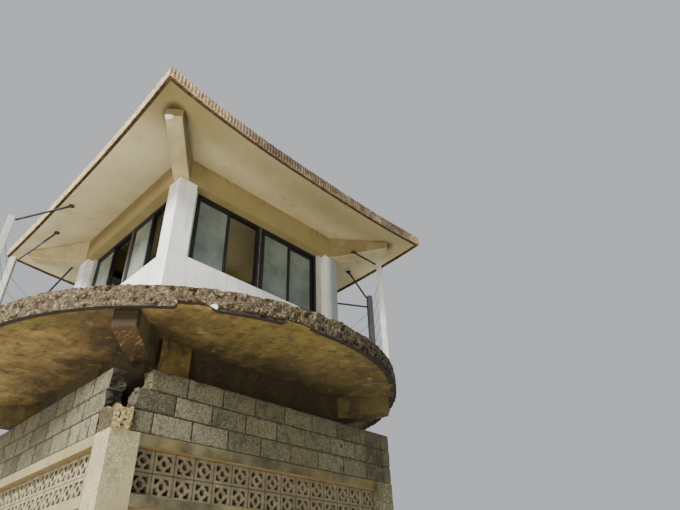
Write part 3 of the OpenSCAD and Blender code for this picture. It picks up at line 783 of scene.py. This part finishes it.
class BoothSizes(bpy.types.PropertyGroup):
    """Sizes of the fine pieces"""
    block_length: bpy.props.FloatProperty(
        name="Block", description="Length of a block with its joint", default=0.4, min=0.2,
        max=0.6, unit="LENGTH")
    joint: bpy.props.FloatProperty(
        name="Joint", description="Width of a mortar joint", default=0.008, min=0.004,
        max=0.02, unit="LENGTH")
    roughness: bpy.props.FloatProperty(
        name="Block face", description="Depth of the roughness of a block's face",
        default=0.003, min=0.0, max=0.01, unit="LENGTH")
    rim_depth: bpy.props.FloatProperty(
        name="Rim relief", description="Depth that the weather has taken off the rim",
        default=0.012, min=0.0, max=0.03, unit="LENGTH")
    rib_pitch: bpy.props.FloatProperty(
        name="Rib pitch", description="From one rib of the roof's edge to the next",
        default=0.046, min=0.02, max=0.1, unit="LENGTH")
    barb_pitch: bpy.props.FloatProperty(
        name="Barb pitch", description="From one barb on the wires to the next",
        default=0.12, min=0.05, max=0.3, unit="LENGTH")


class BoothColours(bpy.types.PropertyGroup):
    """Main colours of the booth"""
    cream: bpy.props.FloatVectorProperty(
        name="Roof paint", description="Paint under the roof",
        subtype="COLOR", size=3, min=0, max=1, default=linear("#C8BC94"))
    white: bpy.props.FloatVectorProperty(
        name="Wall paint", description="Paint of the cabin's walls and posts",
        subtype="COLOR", size=3, min=0, max=1, default=linear("#E9EAE6"))
    plaster: bpy.props.FloatVectorProperty(
        name="Plaster", description="Plaster of the base's columns and beams",
        subtype="COLOR", size=3, min=0, max=1, default=linear("#9E946F"))
    block: bpy.props.FloatVectorProperty(
        name="Block", description="Concrete of the palest blocks",
        subtype="COLOR", size=3, min=0, max=1, default=linear("#77735C"))
    olive: bpy.props.FloatVectorProperty(
        name="Slab soffit", description="Old paint under the balcony slab",
        subtype="COLOR", size=3, min=0, max=1, default=linear("#7A6930"))
    frame: bpy.props.FloatVectorProperty(
        name="Window frame", description="Coating of the window frames",
        subtype="COLOR", size=3, min=0, max=1, default=linear("#121113"))
    glass: bpy.props.FloatVectorProperty(
        name="Glass", description="Colour of the dusty glass",
        subtype="COLOR", size=3, min=0, max=1, default=linear("#7C8980"))


class BoothView(bpy.types.PropertyGroup):
    """Where the booth is seen from"""
    eye: bpy.props.FloatVectorProperty(
        name="Eye", description="Where the camera stands", size=3,
        default=(-3.723, -6.182, 1.550), subtype="TRANSLATION", unit="LENGTH")
    yaw: bpy.props.FloatProperty(
        name="Yaw", description="Turn of the view from +Y, less than 0 towards +X",
        default=math.radians(-47.31), subtype="ANGLE", unit="ROTATION")
    pitch: bpy.props.FloatProperty(
        name="Pitch", description="Tilt of the view above the horizon",
        default=math.radians(34.279), subtype="ANGLE", unit="ROTATION")
    roll: bpy.props.FloatProperty(
        name="Roll", description="Lean of the view",
        default=math.radians(-2.183), subtype="ANGLE", unit="ROTATION")
    lens: bpy.props.FloatProperty(
        name="Lens", description="Focal length on a 36 mm wide sensor", default=28.67,
        min=10, max=100, unit="CAMERA")


class BOOTH_OT_base(bpy.types.Operator):
    """Finishes the base: columns, beams, vent screens and the broken corner"""
    bl_idname = "booth.base"
    bl_label = "Base"

    def execute(self, context):
        dress(cement_plaster(), "base_columns", "lower_wall")
        dress(cement_plaster(damp=True), "sill_beams", "lintels")
        dress(vent_cement(), "vent_screen")
        ease(6, "base_columns", "sill_beams", "lintels")
        fill = broken_concrete()
        self.crust(fill)
        self.rubble(fill)
        return {"FINISHED"}

    @staticmethod
    def crust(fill):
        """The broken face of the fill: a ragged crust round what is left of the corner."""
        low = np.array([-BASE + FILL_SET - 0.003, -BASE - 0.002, Z_BLOCKS])
        top = np.array([-BASE + 0.149, -BASE + 0.243, Z_BLOCKS + 0.160])
        points, faces = grid_box(low, top, (24, 36, 26))
        out = np.sign(points - (low + top) / 2)
        near = np.minimum(points - low, top - points)
        rough = (0.010 * (lumps(points, 60, 21) + 1) + 0.006 * (lumps(points, 22, 22) + 1)
                 + 0.003 * lumps(points, 9, 23))
        peaks = 0.035 * np.maximum(lumps(points, 65, 24), -0.2) * (near[:, 2] < 1e-6)
        for axis in range(3):
            points[:, axis] += out[:, axis] * (near[:, axis] < 1e-6) * rough * 0.9
        points[:, 2] = np.maximum(points[:, 2] + peaks, Z_BLOCKS - 0.002)
        piece("corner_crust", points, faces, [fill], "block")

    @staticmethod
    def rubble(fill):
        """Loose stones on the left, the front and the top of the fill."""
        on_left, on_front, on_top = 75, 50, 45
        rng = np.random.default_rng(7)
        points, sides = ball(2)
        stones = Batch()
        for i in range(on_left + on_front + on_top):
            size = rng.uniform(0.008, 0.021)
            u, v = rng.uniform(0, 1, 2)
            z = 0.012 + v * 0.125
            if i < on_left:
                spot = 0.022, 0.03 + u * 0.2, z
            elif i < on_left + on_front:
                spot = 0.03 + u * 0.105, 0.02, z
            else:
                spot = 0.03 + u * 0.1, 0.03 + v * 0.19, 0.142
            shape = points * rng.uniform(0.6, 1.1, 3) * size
            shape += points * (lumps(points, 700, i) * size * 0.35)[:, None]
            stones.add(shape + np.array([-BASE, -BASE, Z_BLOCKS]) + spot, sides)
        piece("corner_stones", *stones.joined(), [fill], "block")


class BOOTH_OT_blocks(bpy.types.Operator):
    """Lays the block walls: blocks in courses, with struck joints"""
    bl_idname = "booth.blocks"
    bl_label = "Block walls"

    def execute(self, context):
        sizes = context.scene.booth_sizes
        gap = sizes.joint / 2
        high = (Z_TIE - Z_BLOCKS) / COURSES
        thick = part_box("block_wall_front")[1][1] + BASE
        mats = [concrete_block(), bed_mortar()]
        rng = np.random.default_rng(11)
        plain = ((-BASE, BASE - thick),) * COURSES
        for k, (side, ends) in enumerate((("front", FRONT_ENDS), ("right", plain),
                                          ("rear", plain), ("left", LEFT_ENDS))):
            laid, tones = Batch(), []
            for c, (x0, x1) in enumerate(ends):
                z0 = Z_BLOCKS + c * high
                cuts = np.arange(JOINT_AT[c] - 4 * sizes.block_length, x1, sizes.block_length)
                cuts = [x0, *(x for x in cuts if x0 + SHORTEST < x < x1 - SHORTEST), x1]
                for a, b in zip(cuts[:-1], cuts[1:]):
                    low = np.array([a + (gap if a > x0 else 0), -BASE, z0 + gap])
                    top = np.array([b - (gap if b < x1 else 0), -BASE + thick,
                                    z0 + high - (gap if c < COURSES - 1 else 0)])
                    laid.add(*self.block(low, top, sizes.roughness, a == x0 and side == "front",
                                         b == x1 and side == "left"))
                    tone = float(np.clip(rng.normal(0.5, 0.28), 0, 1))
                    tones += [tone] * len(laid.points[-1])
                laid.add(*self.mortar(x0, x1, z0, z0 + high, thick, side), 1)
                tones += [0.5] * len(laid.points[-1])
            points, faces = laid.joined()
            turn = math.radians(90 * k)
            x, y = points[:, 0].copy(), points[:, 1].copy()
            points[:, 0] = x * math.cos(turn) - y * math.sin(turn)
            points[:, 1] = x * math.sin(turn) + y * math.cos(turn)
            wall = piece("blocks_" + side, points, faces, mats, "block", laid.kinds)
            tone = wall.data.attributes.new("tone", "FLOAT", "POINT")
            tone.data.foreach_set("value", np.array(tones, np.float32))
            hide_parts("block_wall_" + side)
        return {"FINISHED"}

    @staticmethod
    def mortar(x0, x1, z0, z1, thick, side):
        """The mortar behind and between the blocks of a course, well back where it is broken."""
        back, end, broken = 0.007, 0.012, 0.08
        points, faces = grid_box(
            np.array([x0 + (broken if side == "front" else end), -BASE + back, z0]),
            np.array([x1 - (broken if side == "left" else end), -BASE + thick - back, z1]),
            (60, 3, 6))
        inward = np.where(points[:, 1] < -BASE + thick / 2, 1, -1)
        points[:, 1] += inward * 0.003 * (lumps(points, 30, 3) + 1)
        return points, faces

    @staticmethod
    def block(low, top, depth, broken_start, broken_end):
        """One block: rough on every face, worn at its arrises, ragged where it is broken."""
        steps = np.maximum(np.round((top - low) / 0.016).astype(int), 2)
        steps[1] = 5
        points, faces = grid_box(low, top, steps)
        near = np.minimum(points - low, top - points)
        inward = np.sign((low + top) / 2 - points)
        rough = depth * 0.5 * (lumps(points, 24, 1) * 0.6 + lumps(points, 60, 2) * 0.4 + 1)
        # The arrises are worn where two faces meet
        worn = ((near < 0.004).sum(1) > 1) * 0.0022 * (lumps(points, 40, 4) + 1.2)
        chips = np.maximum(lumps(points, 75, 9) - 0.45, 0) * 0.02 * (near[:, 2] < 0.02)
        for axis in range(3):
            points[:, axis] += inward[:, axis] * (near[:, axis] < 1e-6) * (rough + worn + chips)
        for broken, start, way in ((broken_start, low[0], 1), (broken_end, top[0], -1)):
            if broken:
                end = 1 - smooth(np.abs(points[:, 0] - start), 0.0, 0.05)
                cut = 0.022 * (lumps(points, 55, 6) + 1) + 0.008 * (lumps(points, 18, 8) + 1)
                points[:, 0] += way * end * cut
        return points, faces


class BOOTH_OT_under_slab(bpy.types.Operator):
    """Finishes what carries the slab: inner columns, tie beams, brackets and facings"""
    bl_idname = "booth.under_slab"
    bl_label = "Frame under the slab"

    def execute(self, context):
        dress(damp_concrete(), "inner_columns", "tie_beams")
        dress(bracket_concrete(), "corner_brackets")
        dress(pale_facing(), "beam_facings")
        ease(10, "inner_columns", "corner_brackets")
        ease(5, "beam_facings")
        return {"FINISHED"}


class BOOTH_OT_slab(bpy.types.Operator):
    """Casts the balcony slab with its weathered rim and its chipped lip"""
    bl_idname = "booth.slab"
    bl_label = "Balcony slab"

    def execute(self, context):
        depth = context.scene.booth_sizes.rim_depth
        n = 1080
        deg = np.linspace(-180, 180, n, endpoint=False)
        a = np.radians(deg)
        edge = SLAB_LOW[2]
        at = np.stack([np.cos(a) * SLAB_R, np.sin(a) * SLAB_R, np.zeros(n)], -1)
        # The lip is more ragged on the right of the front
        wild = smooth(deg, -104, -96) * (1 - smooth(deg, 10, 60)) * 0.8 + 0.2
        chip = np.interp(deg, *zip(*LIP_BREAKS))
        chip = chip + wild * 0.022 * np.maximum(lumps(at, 70, 2) + 0.4 * lumps(at, 25, 3), 0)
        chip += 0.010 * smooth(chip, 0.01, 0.04) * (lumps(at, 38, 14) + 0.6 * lumps(at, 17, 15))
        kept = (deg > UNDERCUT[0]) & (deg < UNDERCUT[1])
        rings, kinds = [], []

        def ring(r, z, kind):
            rings.append(np.stack([SLAB_X + r * np.cos(a), r * np.sin(a),
                                   np.broadcast_to(z, (n,))], -1))
            kinds.append(np.broadcast_to(kind, (n,)))

        inner = SLAB_R - LIP_W
        for r in [0.3, 0.8, 1.2, *np.linspace(1.4, inner, 30)]:
            p = np.stack([r * np.cos(a), r * np.sin(a), np.zeros(n)], -1)
            # Spalls and hollows, away from what touches the soffit
            clear = smooth(np.minimum(abs(p[:, 0] - p[:, 1]), abs(p[:, 0] + p[:, 1])), 0.2, 0.4)
            clear = clear * smooth(np.maximum(abs(p[:, 0]), abs(p[:, 1])), 1.5, 1.6)
            dz = clear * (0.004 * (lumps(p, 170, 4) + 1) + 0.0015 * (lumps(p, 60, 5) + 1)
                          + 0.007 * smooth(lumps(p, 420, 6), 0.35, 0.42))
            ring(r, Z_SOFFIT + dz * smooth(inner - r, 0.0, 0.06), 0)
        rough = lumps(at, 30, 7)
        open_lip = np.where(chip > 0.03, 0, 1)
        ring(inner + LIP_H / 2, edge + np.minimum(chip, LIP_H + 0.004), open_lip)
        ring(SLAB_R - 0.04, edge + np.minimum(chip, LIP_H + 0.012) + 0.004 * (rough + 1),
             open_lip)
        ring(SLAB_R - 0.005 * (rough + 1), edge + chip, 1)
        up = 16
        for i in range(1, up + 1):
            t = i / up
            z = edge + chip + (Z_DECK - edge - chip) * t
            p = np.stack([at[:, 0], at[:, 1], z], -1)
            dr = depth * (0.30 + 0.22 * lumps(p, 26, 8) + 0.25 * lumps(p, 70, 9)
                          + 0.5 * np.maximum(lumps(p, 150, 10), 0)
                          + 1.7 * smooth(lumps(p, 42, 11), 0.3, 0.6))
            dr = dr * (1 + 0.9 * wild)
            dr += 0.022 * smooth(chip, 0.03, 0.06) * (1 - t) ** 2
            fall = 0.010 * (1 + lumps(p, 50, 12)) * (t > 0.95)
            # The undercut of the kept stretch takes the drip edge's near black: mould, and
            # painted shade
            dark = kept & (i < 4)
            ring(SLAB_R - np.clip(dr + 0.018 * dark, 0.0, 0.06), z - fall,
                 np.where(dark, 1, 2))
        for r, fall in ((SLAB_R - 0.045, 0.004), (SLAB_R - 0.15, 0.001), (2.2, 0.0), (1.6, 0.0),
                        (0.8, 0.0)):
            ring(r, Z_DECK - fall * (1 + lumps(at, 50, 12)), 3)
        slab = piece("slab_cast", *skin(np.array(rings)),
                     [soffit_plaster(), drip_edge(), rim_aggregate(), deck_concrete()],
                     "slab_concrete", np.concatenate([*kinds[1:], [0] * n, [3] * n]))
        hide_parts("balcony_slab")
        return {"FINISHED"}


class BOOTH_OT_cabin(bpy.types.Operator):
    """Paints the cabin's dado, posts, window strips and ring beam"""
    bl_idname = "booth.cabin"
    bl_label = "Cabin walls"

    def execute(self, context):
        dress(white_paint(), "dado_wall", "cabin_posts")
        dress(jamb_render(), "jamb_strips")
        dress(beam_paint(), "ring_beam")
        ease(8, "cabin_posts", "ring_beam")
        return {"FINISHED"}


class BOOTH_OT_windows(bpy.types.Operator):
    """Finishes the windows and adds their glazing rubbers and sealant"""
    bl_idname = "booth.windows"
    bl_label = "Windows"

    def execute(self, context):
        dress(coated_aluminium(), "window_frames", "sashes")
        dress(dusty_glass(), "panes")
        ease(3, "window_frames", "sashes")
        rubber, sealant = rubber_bead(), old_sealant()
        for side in ("front", "right", "rear", "left"):
            rubbers = Batch()
            for pane in solids("panes_" + side):
                self.gasket(pane.min(0), pane.max(0), rubbers)
            piece("glazing_rubber_" + side, *rubbers.joined(), [rubber], "black_frame")
            low, top = (np.array(v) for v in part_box("window_frames_" + side))
            piece("mullion_sealant_" + side, *self.bead(low, top), [sealant], "black_frame",
                  shade=True)
        return {"FINISHED"}

    @staticmethod
    def gasket(low, top, rubbers):
        """A rubber bead round a pane, on both of its faces."""
        thin = int(np.argmin(top - low))
        wide = 1 - thin
        for face, out in ((low[thin], -0.003), (top[thin], 0.003)):
            points = []
            for inset, proud in ((0.0, 0.0), (0.0, out), (0.004, out), (0.007, 0.0)):
                for u, v in ((0, 0), (1, 0), (1, 1), (0, 1)):
                    p = [0.0, 0.0, 0.0]
                    p[thin] = face + proud
                    p[wide] = (low[wide] + inset) if u == 0 else (top[wide] - inset)
                    p[2] = (low[2] + inset) if v == 0 else (top[2] - inset)
                    points.append(p)
            rubbers.add(points, ring_faces(4, 4, closed=True))

    @staticmethod
    def bead(low, top):
        """A ragged line of sealant down the joint of the two frames."""
        thin = int(np.argmin(top - low))
        wide = 1 - thin
        sign = -1 if low[thin] + top[thin] < 0 else 1
        face = low[thin] if sign < 0 else top[thin]
        mid = (low[wide] + top[wide]) / 2
        rings = []
        for z in np.linspace(low[2] + 0.01, top[2] - 0.01, 90):
            w = 0.0045 + 0.003 * float(lumps(np.array([[mid, face, z]]), 45, 5)[0])
            shift = 0.002 * float(lumps(np.array([[face, mid, z]]), 120, 6)[0])
            ring = []
            for u, h in ((-1, -0.001), (-0.6, 0.0022), (0.0, 0.003), (0.6, 0.0022), (1, -0.001)):
                p = [0.0, 0.0, z]
                p[wide] = mid + shift + u * w
                p[thin] = face + sign * h
                ring.append(p)
            rings.append(ring)
        return skin(np.array(rings))


def roof_ring(k, t, side):
    """Plan place and soffit height of the roof: k from the wall out, t along a side."""
    low_x, low_y = -CAB - k * OVER[0], -CAB - k * OVER[1]
    top_x, top_y = CAB + k * OVER[2], CAB + k * OVER[3]
    x = np.choose(side, [low_x + (top_x - low_x) * t, top_x + 0 * t,
                         top_x - (top_x - low_x) * t, low_x + 0 * t])
    y = np.choose(side, [low_y + 0 * t, low_y + (top_y - low_y) * t, top_y + 0 * t,
                         top_y - (top_y - low_y) * t])
    kk = np.clip(k, 0, 1)
    corner = np.where(t < 0.5, side, (side + 1) % 4)
    lift = ROOF_LIFT + NEAR_LIFT * (corner == 0)
    z = Z_EAVE - ROOF_DROP * kk + lift * np.abs(2 * t - 1) ** ROOF_CURVE * kk * kk
    return np.stack([x, y, z + 0 * t], -1)


def hip_soffit(k, near):
    """Height of the soffit over a corner of the roof at step k."""
    return Z_EAVE - ROOF_DROP * k + (ROOF_LIFT + NEAR_LIFT * near) * k * k


def hip_lines():
    """Where each corner beam ends in plan, and the way it points in degrees."""
    lines = []
    for sx, sy, ox, oy in CORNERS:
        reach = math.hypot(ox, oy)
        lines.append(((sx * (CAB + ox * HIP_L / reach), sy * (CAB + oy * HIP_L / reach)),
                      math.degrees(math.atan2(sy * oy, sx * ox))))
    return lines


class BOOTH_OT_roof(bpy.types.Operator):
    """Casts the roof with its ribbed pebble edge, its drip groove and its corner beams"""
    bl_idname = "booth.roof"
    bl_label = "Roof"

    def execute(self, context):
        pitch = context.scene.booth_sizes.rib_pitch
        m, up = 400, 8
        side = np.repeat(np.arange(4), m)
        t = np.tile(np.arange(m) / m, 4)
        over = OVER[[1, 2, 3, 0]][side]
        length = np.array([2 * CAB + OVER[0] + OVER[2], 2 * CAB + OVER[1] + OVER[3]] * 2)[side]
        rib = 0.5 - 0.5 * np.cos(2 * math.pi * t * length / pitch)
        rings, kinds = [], []

        def ring(p, kind, dz=0.0):
            p[:, 2] += dz
            rings.append(p)
            kinds.append(kind)

        # The painted soffit, then the drip groove, the ribbed edge and the top
        for k in (0.0, 0.12, 0.25, 0.38, 0.5, 0.6, 0.7, 0.78, 0.85, 0.90, 0.932):
            p = roof_ring(k, t, side)
            ring(p, 0, 0.0015 * (lumps(p, 90, 3) + 1) * (k > 0.1))
        for k, deep in ((0.935, 0.014), (0.980, 0.014), (0.983, 0.0)):
            p = roof_ring(k, t, side)
            ring(p, 1, deep * (1 + 0.2 * lumps(p, 60, 4)))
        for i in range(up + 1):
            z = ROOF_T * i / up
            p = roof_ring(1.0, t, side) + np.array([0, 0, z])
            d = 0.003 + 0.007 * rib * smooth(z, 0.01, 0.03) + 0.0035 * (lumps(p, 26, 5) + 1)
            d += 0.004 * np.maximum(lumps(p, 110, 6), 0)
            edge = roof_ring(1.0 - d / over, t, side)
            edge[:, 2] = p[:, 2] + (0.003 * (lumps(p, 45, 7) + 1) if i == 0 else 0.0)
            ring(edge, 2, -(0.004 * rib + 0.004 * (lumps(p, 60, 8) + 1)) if i == up else 0.0)
        for k in (0.965, 0.8, 0.5, 0.25, 0.0):
            p = roof_ring(k, t, side)
            ring(p, 3, ROOF_T - (0.004 * (lumps(p, 60, 8) + 1) if k > 0.9 else 0.0))
        wall = rings[-1]
        peak = np.array([0.0, 0.0, ROOF_HIGH[2]])
        for s in (0.66, 0.33, 0.02):
            ring(peak + (wall - peak) * s, 3)
        points, faces = skin(np.array(rings))
        points[-1] = peak
        roof = piece("roof_cast", points, faces,
                     [cream_paint(), drip_groove(), fascia_pebbles(), deck_concrete()],
                     "roof_concrete", np.repeat([*kinds[1:], 0, 3], 4 * m))
        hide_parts("roof_slab")
        self.hips()
        return {"FINISHED"}

    @staticmethod
    def hips():
        """Corner beams with eased lower arrises and a rounded nose."""
        nose, arris = 0.022, 0.014
        # Where the rings stand along a beam, and how far its underside is lifted there
        stations = [(s, 0.0) for s in (-0.12, 0.0, 0.1, 0.2, 0.3, 0.4, 0.5, 0.6, 0.7, 0.74)]
        for a in np.radians((0, 18, 36, 54, 72, 90)):
            stations.append((HIP_L - nose + nose * math.sin(a), nose * (1 - math.cos(a))))
        beams = Batch()
        for sx, sy, ox, oy in CORNERS:
            reach = math.hypot(ox, oy)
            along = np.array([sx * ox, sy * oy]) / reach
            across = np.array([-along[1], along[0]]) * HIP_W / 2
            near = sx < 0 and sy < 0
            end_low = hip_soffit(HIP_L / reach, near) - HIP_END_H
            rings = []
            for s, lift in stations:
                low = Z_HEAD + 0.002 + (end_low - Z_HEAD) * max(s, 0) / HIP_L + lift
                top = hip_soffit(max(s, 0) / reach, near) + 0.04
                mid = np.array([sx * CAB, sy * CAB]) + along * s
                rings.append([[*(mid + across * u), z] for u, z in (
                    (-1, top), (-1, low + arris), (-0.955, low + 0.3 * arris), (-0.86, low),
                    (-0.4, low), (0.0, low), (0.4, low), (0.86, low),
                    (0.955, low + 0.3 * arris), (1, low + arris), (1, top))])
            beams.add(*skin(np.array(rings)))
        x, y = hip_lines()[0][0]
        # Where the white patch sits on the near beam's nose
        worn = (x - 0.045, y + 0.05, hip_soffit(0.64, True) - HIP_END_H + 0.012)
        hips = piece("hip_beam_casts", *beams.joined(), [beam_paint(worn)], "roof_concrete")
        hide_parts("hip_beams")


class BOOTH_OT_fence(bpy.types.Operator):
    """Finishes the fence, and adds its barbs and the plates of its rods"""
    bl_idname = "booth.fence"
    bl_label = "Fence"

    def execute(self, context):
        dress(post_paint(), "fence_posts")
        dress(painted_steel(), "brace_rods")
        wire = galvanised_wire()
        dress(wire, "fence_wires")
        ease(7, "fence_posts")
        self.plates()
        self.barbs(context.scene.booth_sizes.barb_pitch, wire)
        return {"FINISHED"}

    @staticmethod
    def plates():
        """A rusty plate where each rod meets the concrete."""
        points, sides = ball(3)
        plates = Batch()
        for i, rod in enumerate(solids("brace_rods")):
            a, b = axis_ends(rod)
            # The tie bar is nearly level and meets the cabin on the left
            level = abs(a[2] - b[2]) / np.linalg.norm(a - b) < 0.33
            if level:
                end, size = (a if a[0] < b[0] else b), (0.012, 0.034, 0.034)
            else:
                end, size = (b if b[2] > a[2] else a) - (0, 0, 0.002), (0.036, 0.036, 0.014)
            blob = np.sign(points) * np.abs(points) ** 0.75 * size
            blob += points * 0.004 * lumps(points, 900, i)[:, None]
            plates.add(blob + end, sides)
        piece("rod_plates", *plates.joined(), [rusty_plate()], "dark_steel")

    @staticmethod
    def barbs(pitch, mat):
        """Two short twisted points round a wire at each barb."""
        rng = np.random.default_rng(5)
        barbs = Batch()
        sides = ring_faces(4, 4) + [[0, 1, 2, 3], [12, 13, 14, 15]]
        for wire in solids("fence_wires"):
            a, b = axis_ends(wire)
            run = np.linalg.norm(b - a)
            u = (b - a) / run
            side = np.cross(u, (0, 0, 1.0))
            side /= np.linalg.norm(side)
            up = np.cross(side, u)
            for s in np.arange(pitch * 0.6, run - pitch * 0.4, pitch):
                for _ in range(2):
                    turn = rng.uniform(0, math.pi)
                    d = side * math.cos(turn) + up * math.sin(turn) + u * rng.uniform(-0.3, 0.3)
                    d /= np.linalg.norm(d)
                    e = np.cross(d, u)
                    e /= np.linalg.norm(e)
                    g = np.cross(d, e)
                    mid = a + u * (s + rng.uniform(-0.004, 0.004))
                    points = [mid + d * along + (e * math.cos(w) + g * math.sin(w)) * r
                              for along, r in ((-0.019, 0.0004), (-0.006, 0.0017),
                                               (0.006, 0.0017), (0.019, 0.0004))
                              for w in (0.0, math.pi / 2, math.pi, math.pi * 1.5)]
                    barbs.add(points, sides)
        piece("wire_barbs", *barbs.joined(), [mat], "wire_steel")


class BOOTH_OT_stage(bpy.types.Operator):
    """Adds the floor, the lights and the camera"""
    bl_idname = "booth.stage"
    bl_label = "Stage"

    def execute(self, context):
        view = context.scene.booth_view
        far = 60
        mesh = bpy.data.meshes.new("floor")
        mesh.from_pydata([(-far, -far, 0), (far, -far, 0), (far, far, 0), (-far, far, 0)], [],
                         [(0, 1, 2, 3)])
        mesh.materials.append(floor_paint())
        floor = self.placed("floor", mesh)

        world = bpy.data.worlds.new("studio")
        context.scene.world = world
        world.use_nodes = True
        sky = world.node_tree.nodes["Background"]
        sky.inputs["Color"].default_value = (*linear("#EDF1F6"), 1.0)
        sky.inputs["Strength"].default_value = 0.62

        aim = Vector((0, 0, 4))
        for name, place, size, power, colour in (
                ("key", (-15.0, -5.0, 16.0), 4.5, 9500.0, "#FFFFFF"),
                ("bounce", (-13.0, -7.0, 1.8), 3.2, 760.0, "#FFECD2")):
            light = bpy.data.lights.new(name, "AREA")
            light.shape = "DISK"
            light.size = size
            light.energy = power
            light.color = linear(colour)
            obj = self.placed(name, light)
            obj.location = place
            obj.rotation_euler = (aim - Vector(place)).to_track_quat("-Z", "Y").to_euler()

        camera = bpy.data.cameras.new("camera")
        camera.lens = view.lens
        camera.sensor_width = 36
        camera.sensor_fit = "HORIZONTAL"
        forward = Vector((math.cos(view.pitch) * math.sin(-view.yaw),
                          math.cos(view.pitch) * math.cos(view.yaw), math.sin(view.pitch)))
        side = forward.cross(Vector((0, 0, 1))).normalized()
        up = side.cross(forward)
        c, s = math.cos(view.roll), math.sin(view.roll)
        right, top = c * side + s * up, -s * side + c * up
        turn = Matrix((right, top, -forward)).transposed().to_4x4()
        obj = self.placed("camera", camera)
        obj.matrix_world = Matrix.Translation(view.eye) @ turn
        context.scene.camera = obj
        return {"FINISHED"}

    @staticmethod
    def placed(name, data):
        """An object in the scene for a mesh, a light or a camera."""
        obj = bpy.data.objects.new(name, data)
        bpy.context.scene.collection.objects.link(obj)
        return obj


class BOOTH_PT_panel(bpy.types.Panel):
    """Lists the steps of the booth, and its sizes and colours"""
    bl_idname = "BOOTH_PT_panel"
    bl_label = "Guard booth"
    bl_space_type = "VIEW_3D"
    bl_region_type = "UI"
    bl_category = "Booth"

    def draw(self, context):
        for op in OPERATORS:
            self.layout.operator(op.bl_idname)
        for name in GROUPS:
            group = getattr(context.scene, name)
            for key in group.bl_rna.properties.keys():
                if key not in ("rna_type", "name"):
                    self.layout.prop(group, key)


OPERATORS = (BOOTH_OT_base, BOOTH_OT_blocks, BOOTH_OT_under_slab, BOOTH_OT_slab,
             BOOTH_OT_cabin, BOOTH_OT_windows, BOOTH_OT_roof, BOOTH_OT_fence, BOOTH_OT_stage)
GROUPS = {"booth_sizes": BoothSizes, "booth_colours": BoothColours, "booth_view": BoothView}
CLASSES = (*GROUPS.values(), *OPERATORS, BOOTH_PT_panel)


def register():
    for cls in CLASSES:
        bpy.utils.register_class(cls)
    for name, group in GROUPS.items():
        setattr(bpy.types.Scene, name, bpy.props.PointerProperty(type=group))


def unregister():
    for name in GROUPS:
        delattr(bpy.types.Scene, name)
    for cls in reversed(CLASSES):
        bpy.utils.unregister_class(cls)


def main():
    register()
    bpy.ops.booth.base()
    bpy.ops.booth.blocks()
    bpy.ops.booth.under_slab()
    bpy.ops.booth.slab()
    bpy.ops.booth.cabin()
    bpy.ops.booth.windows()
    bpy.ops.booth.roof()
    bpy.ops.booth.fence()
    bpy.ops.booth.stage()


if __name__ == "__main__":
    main()
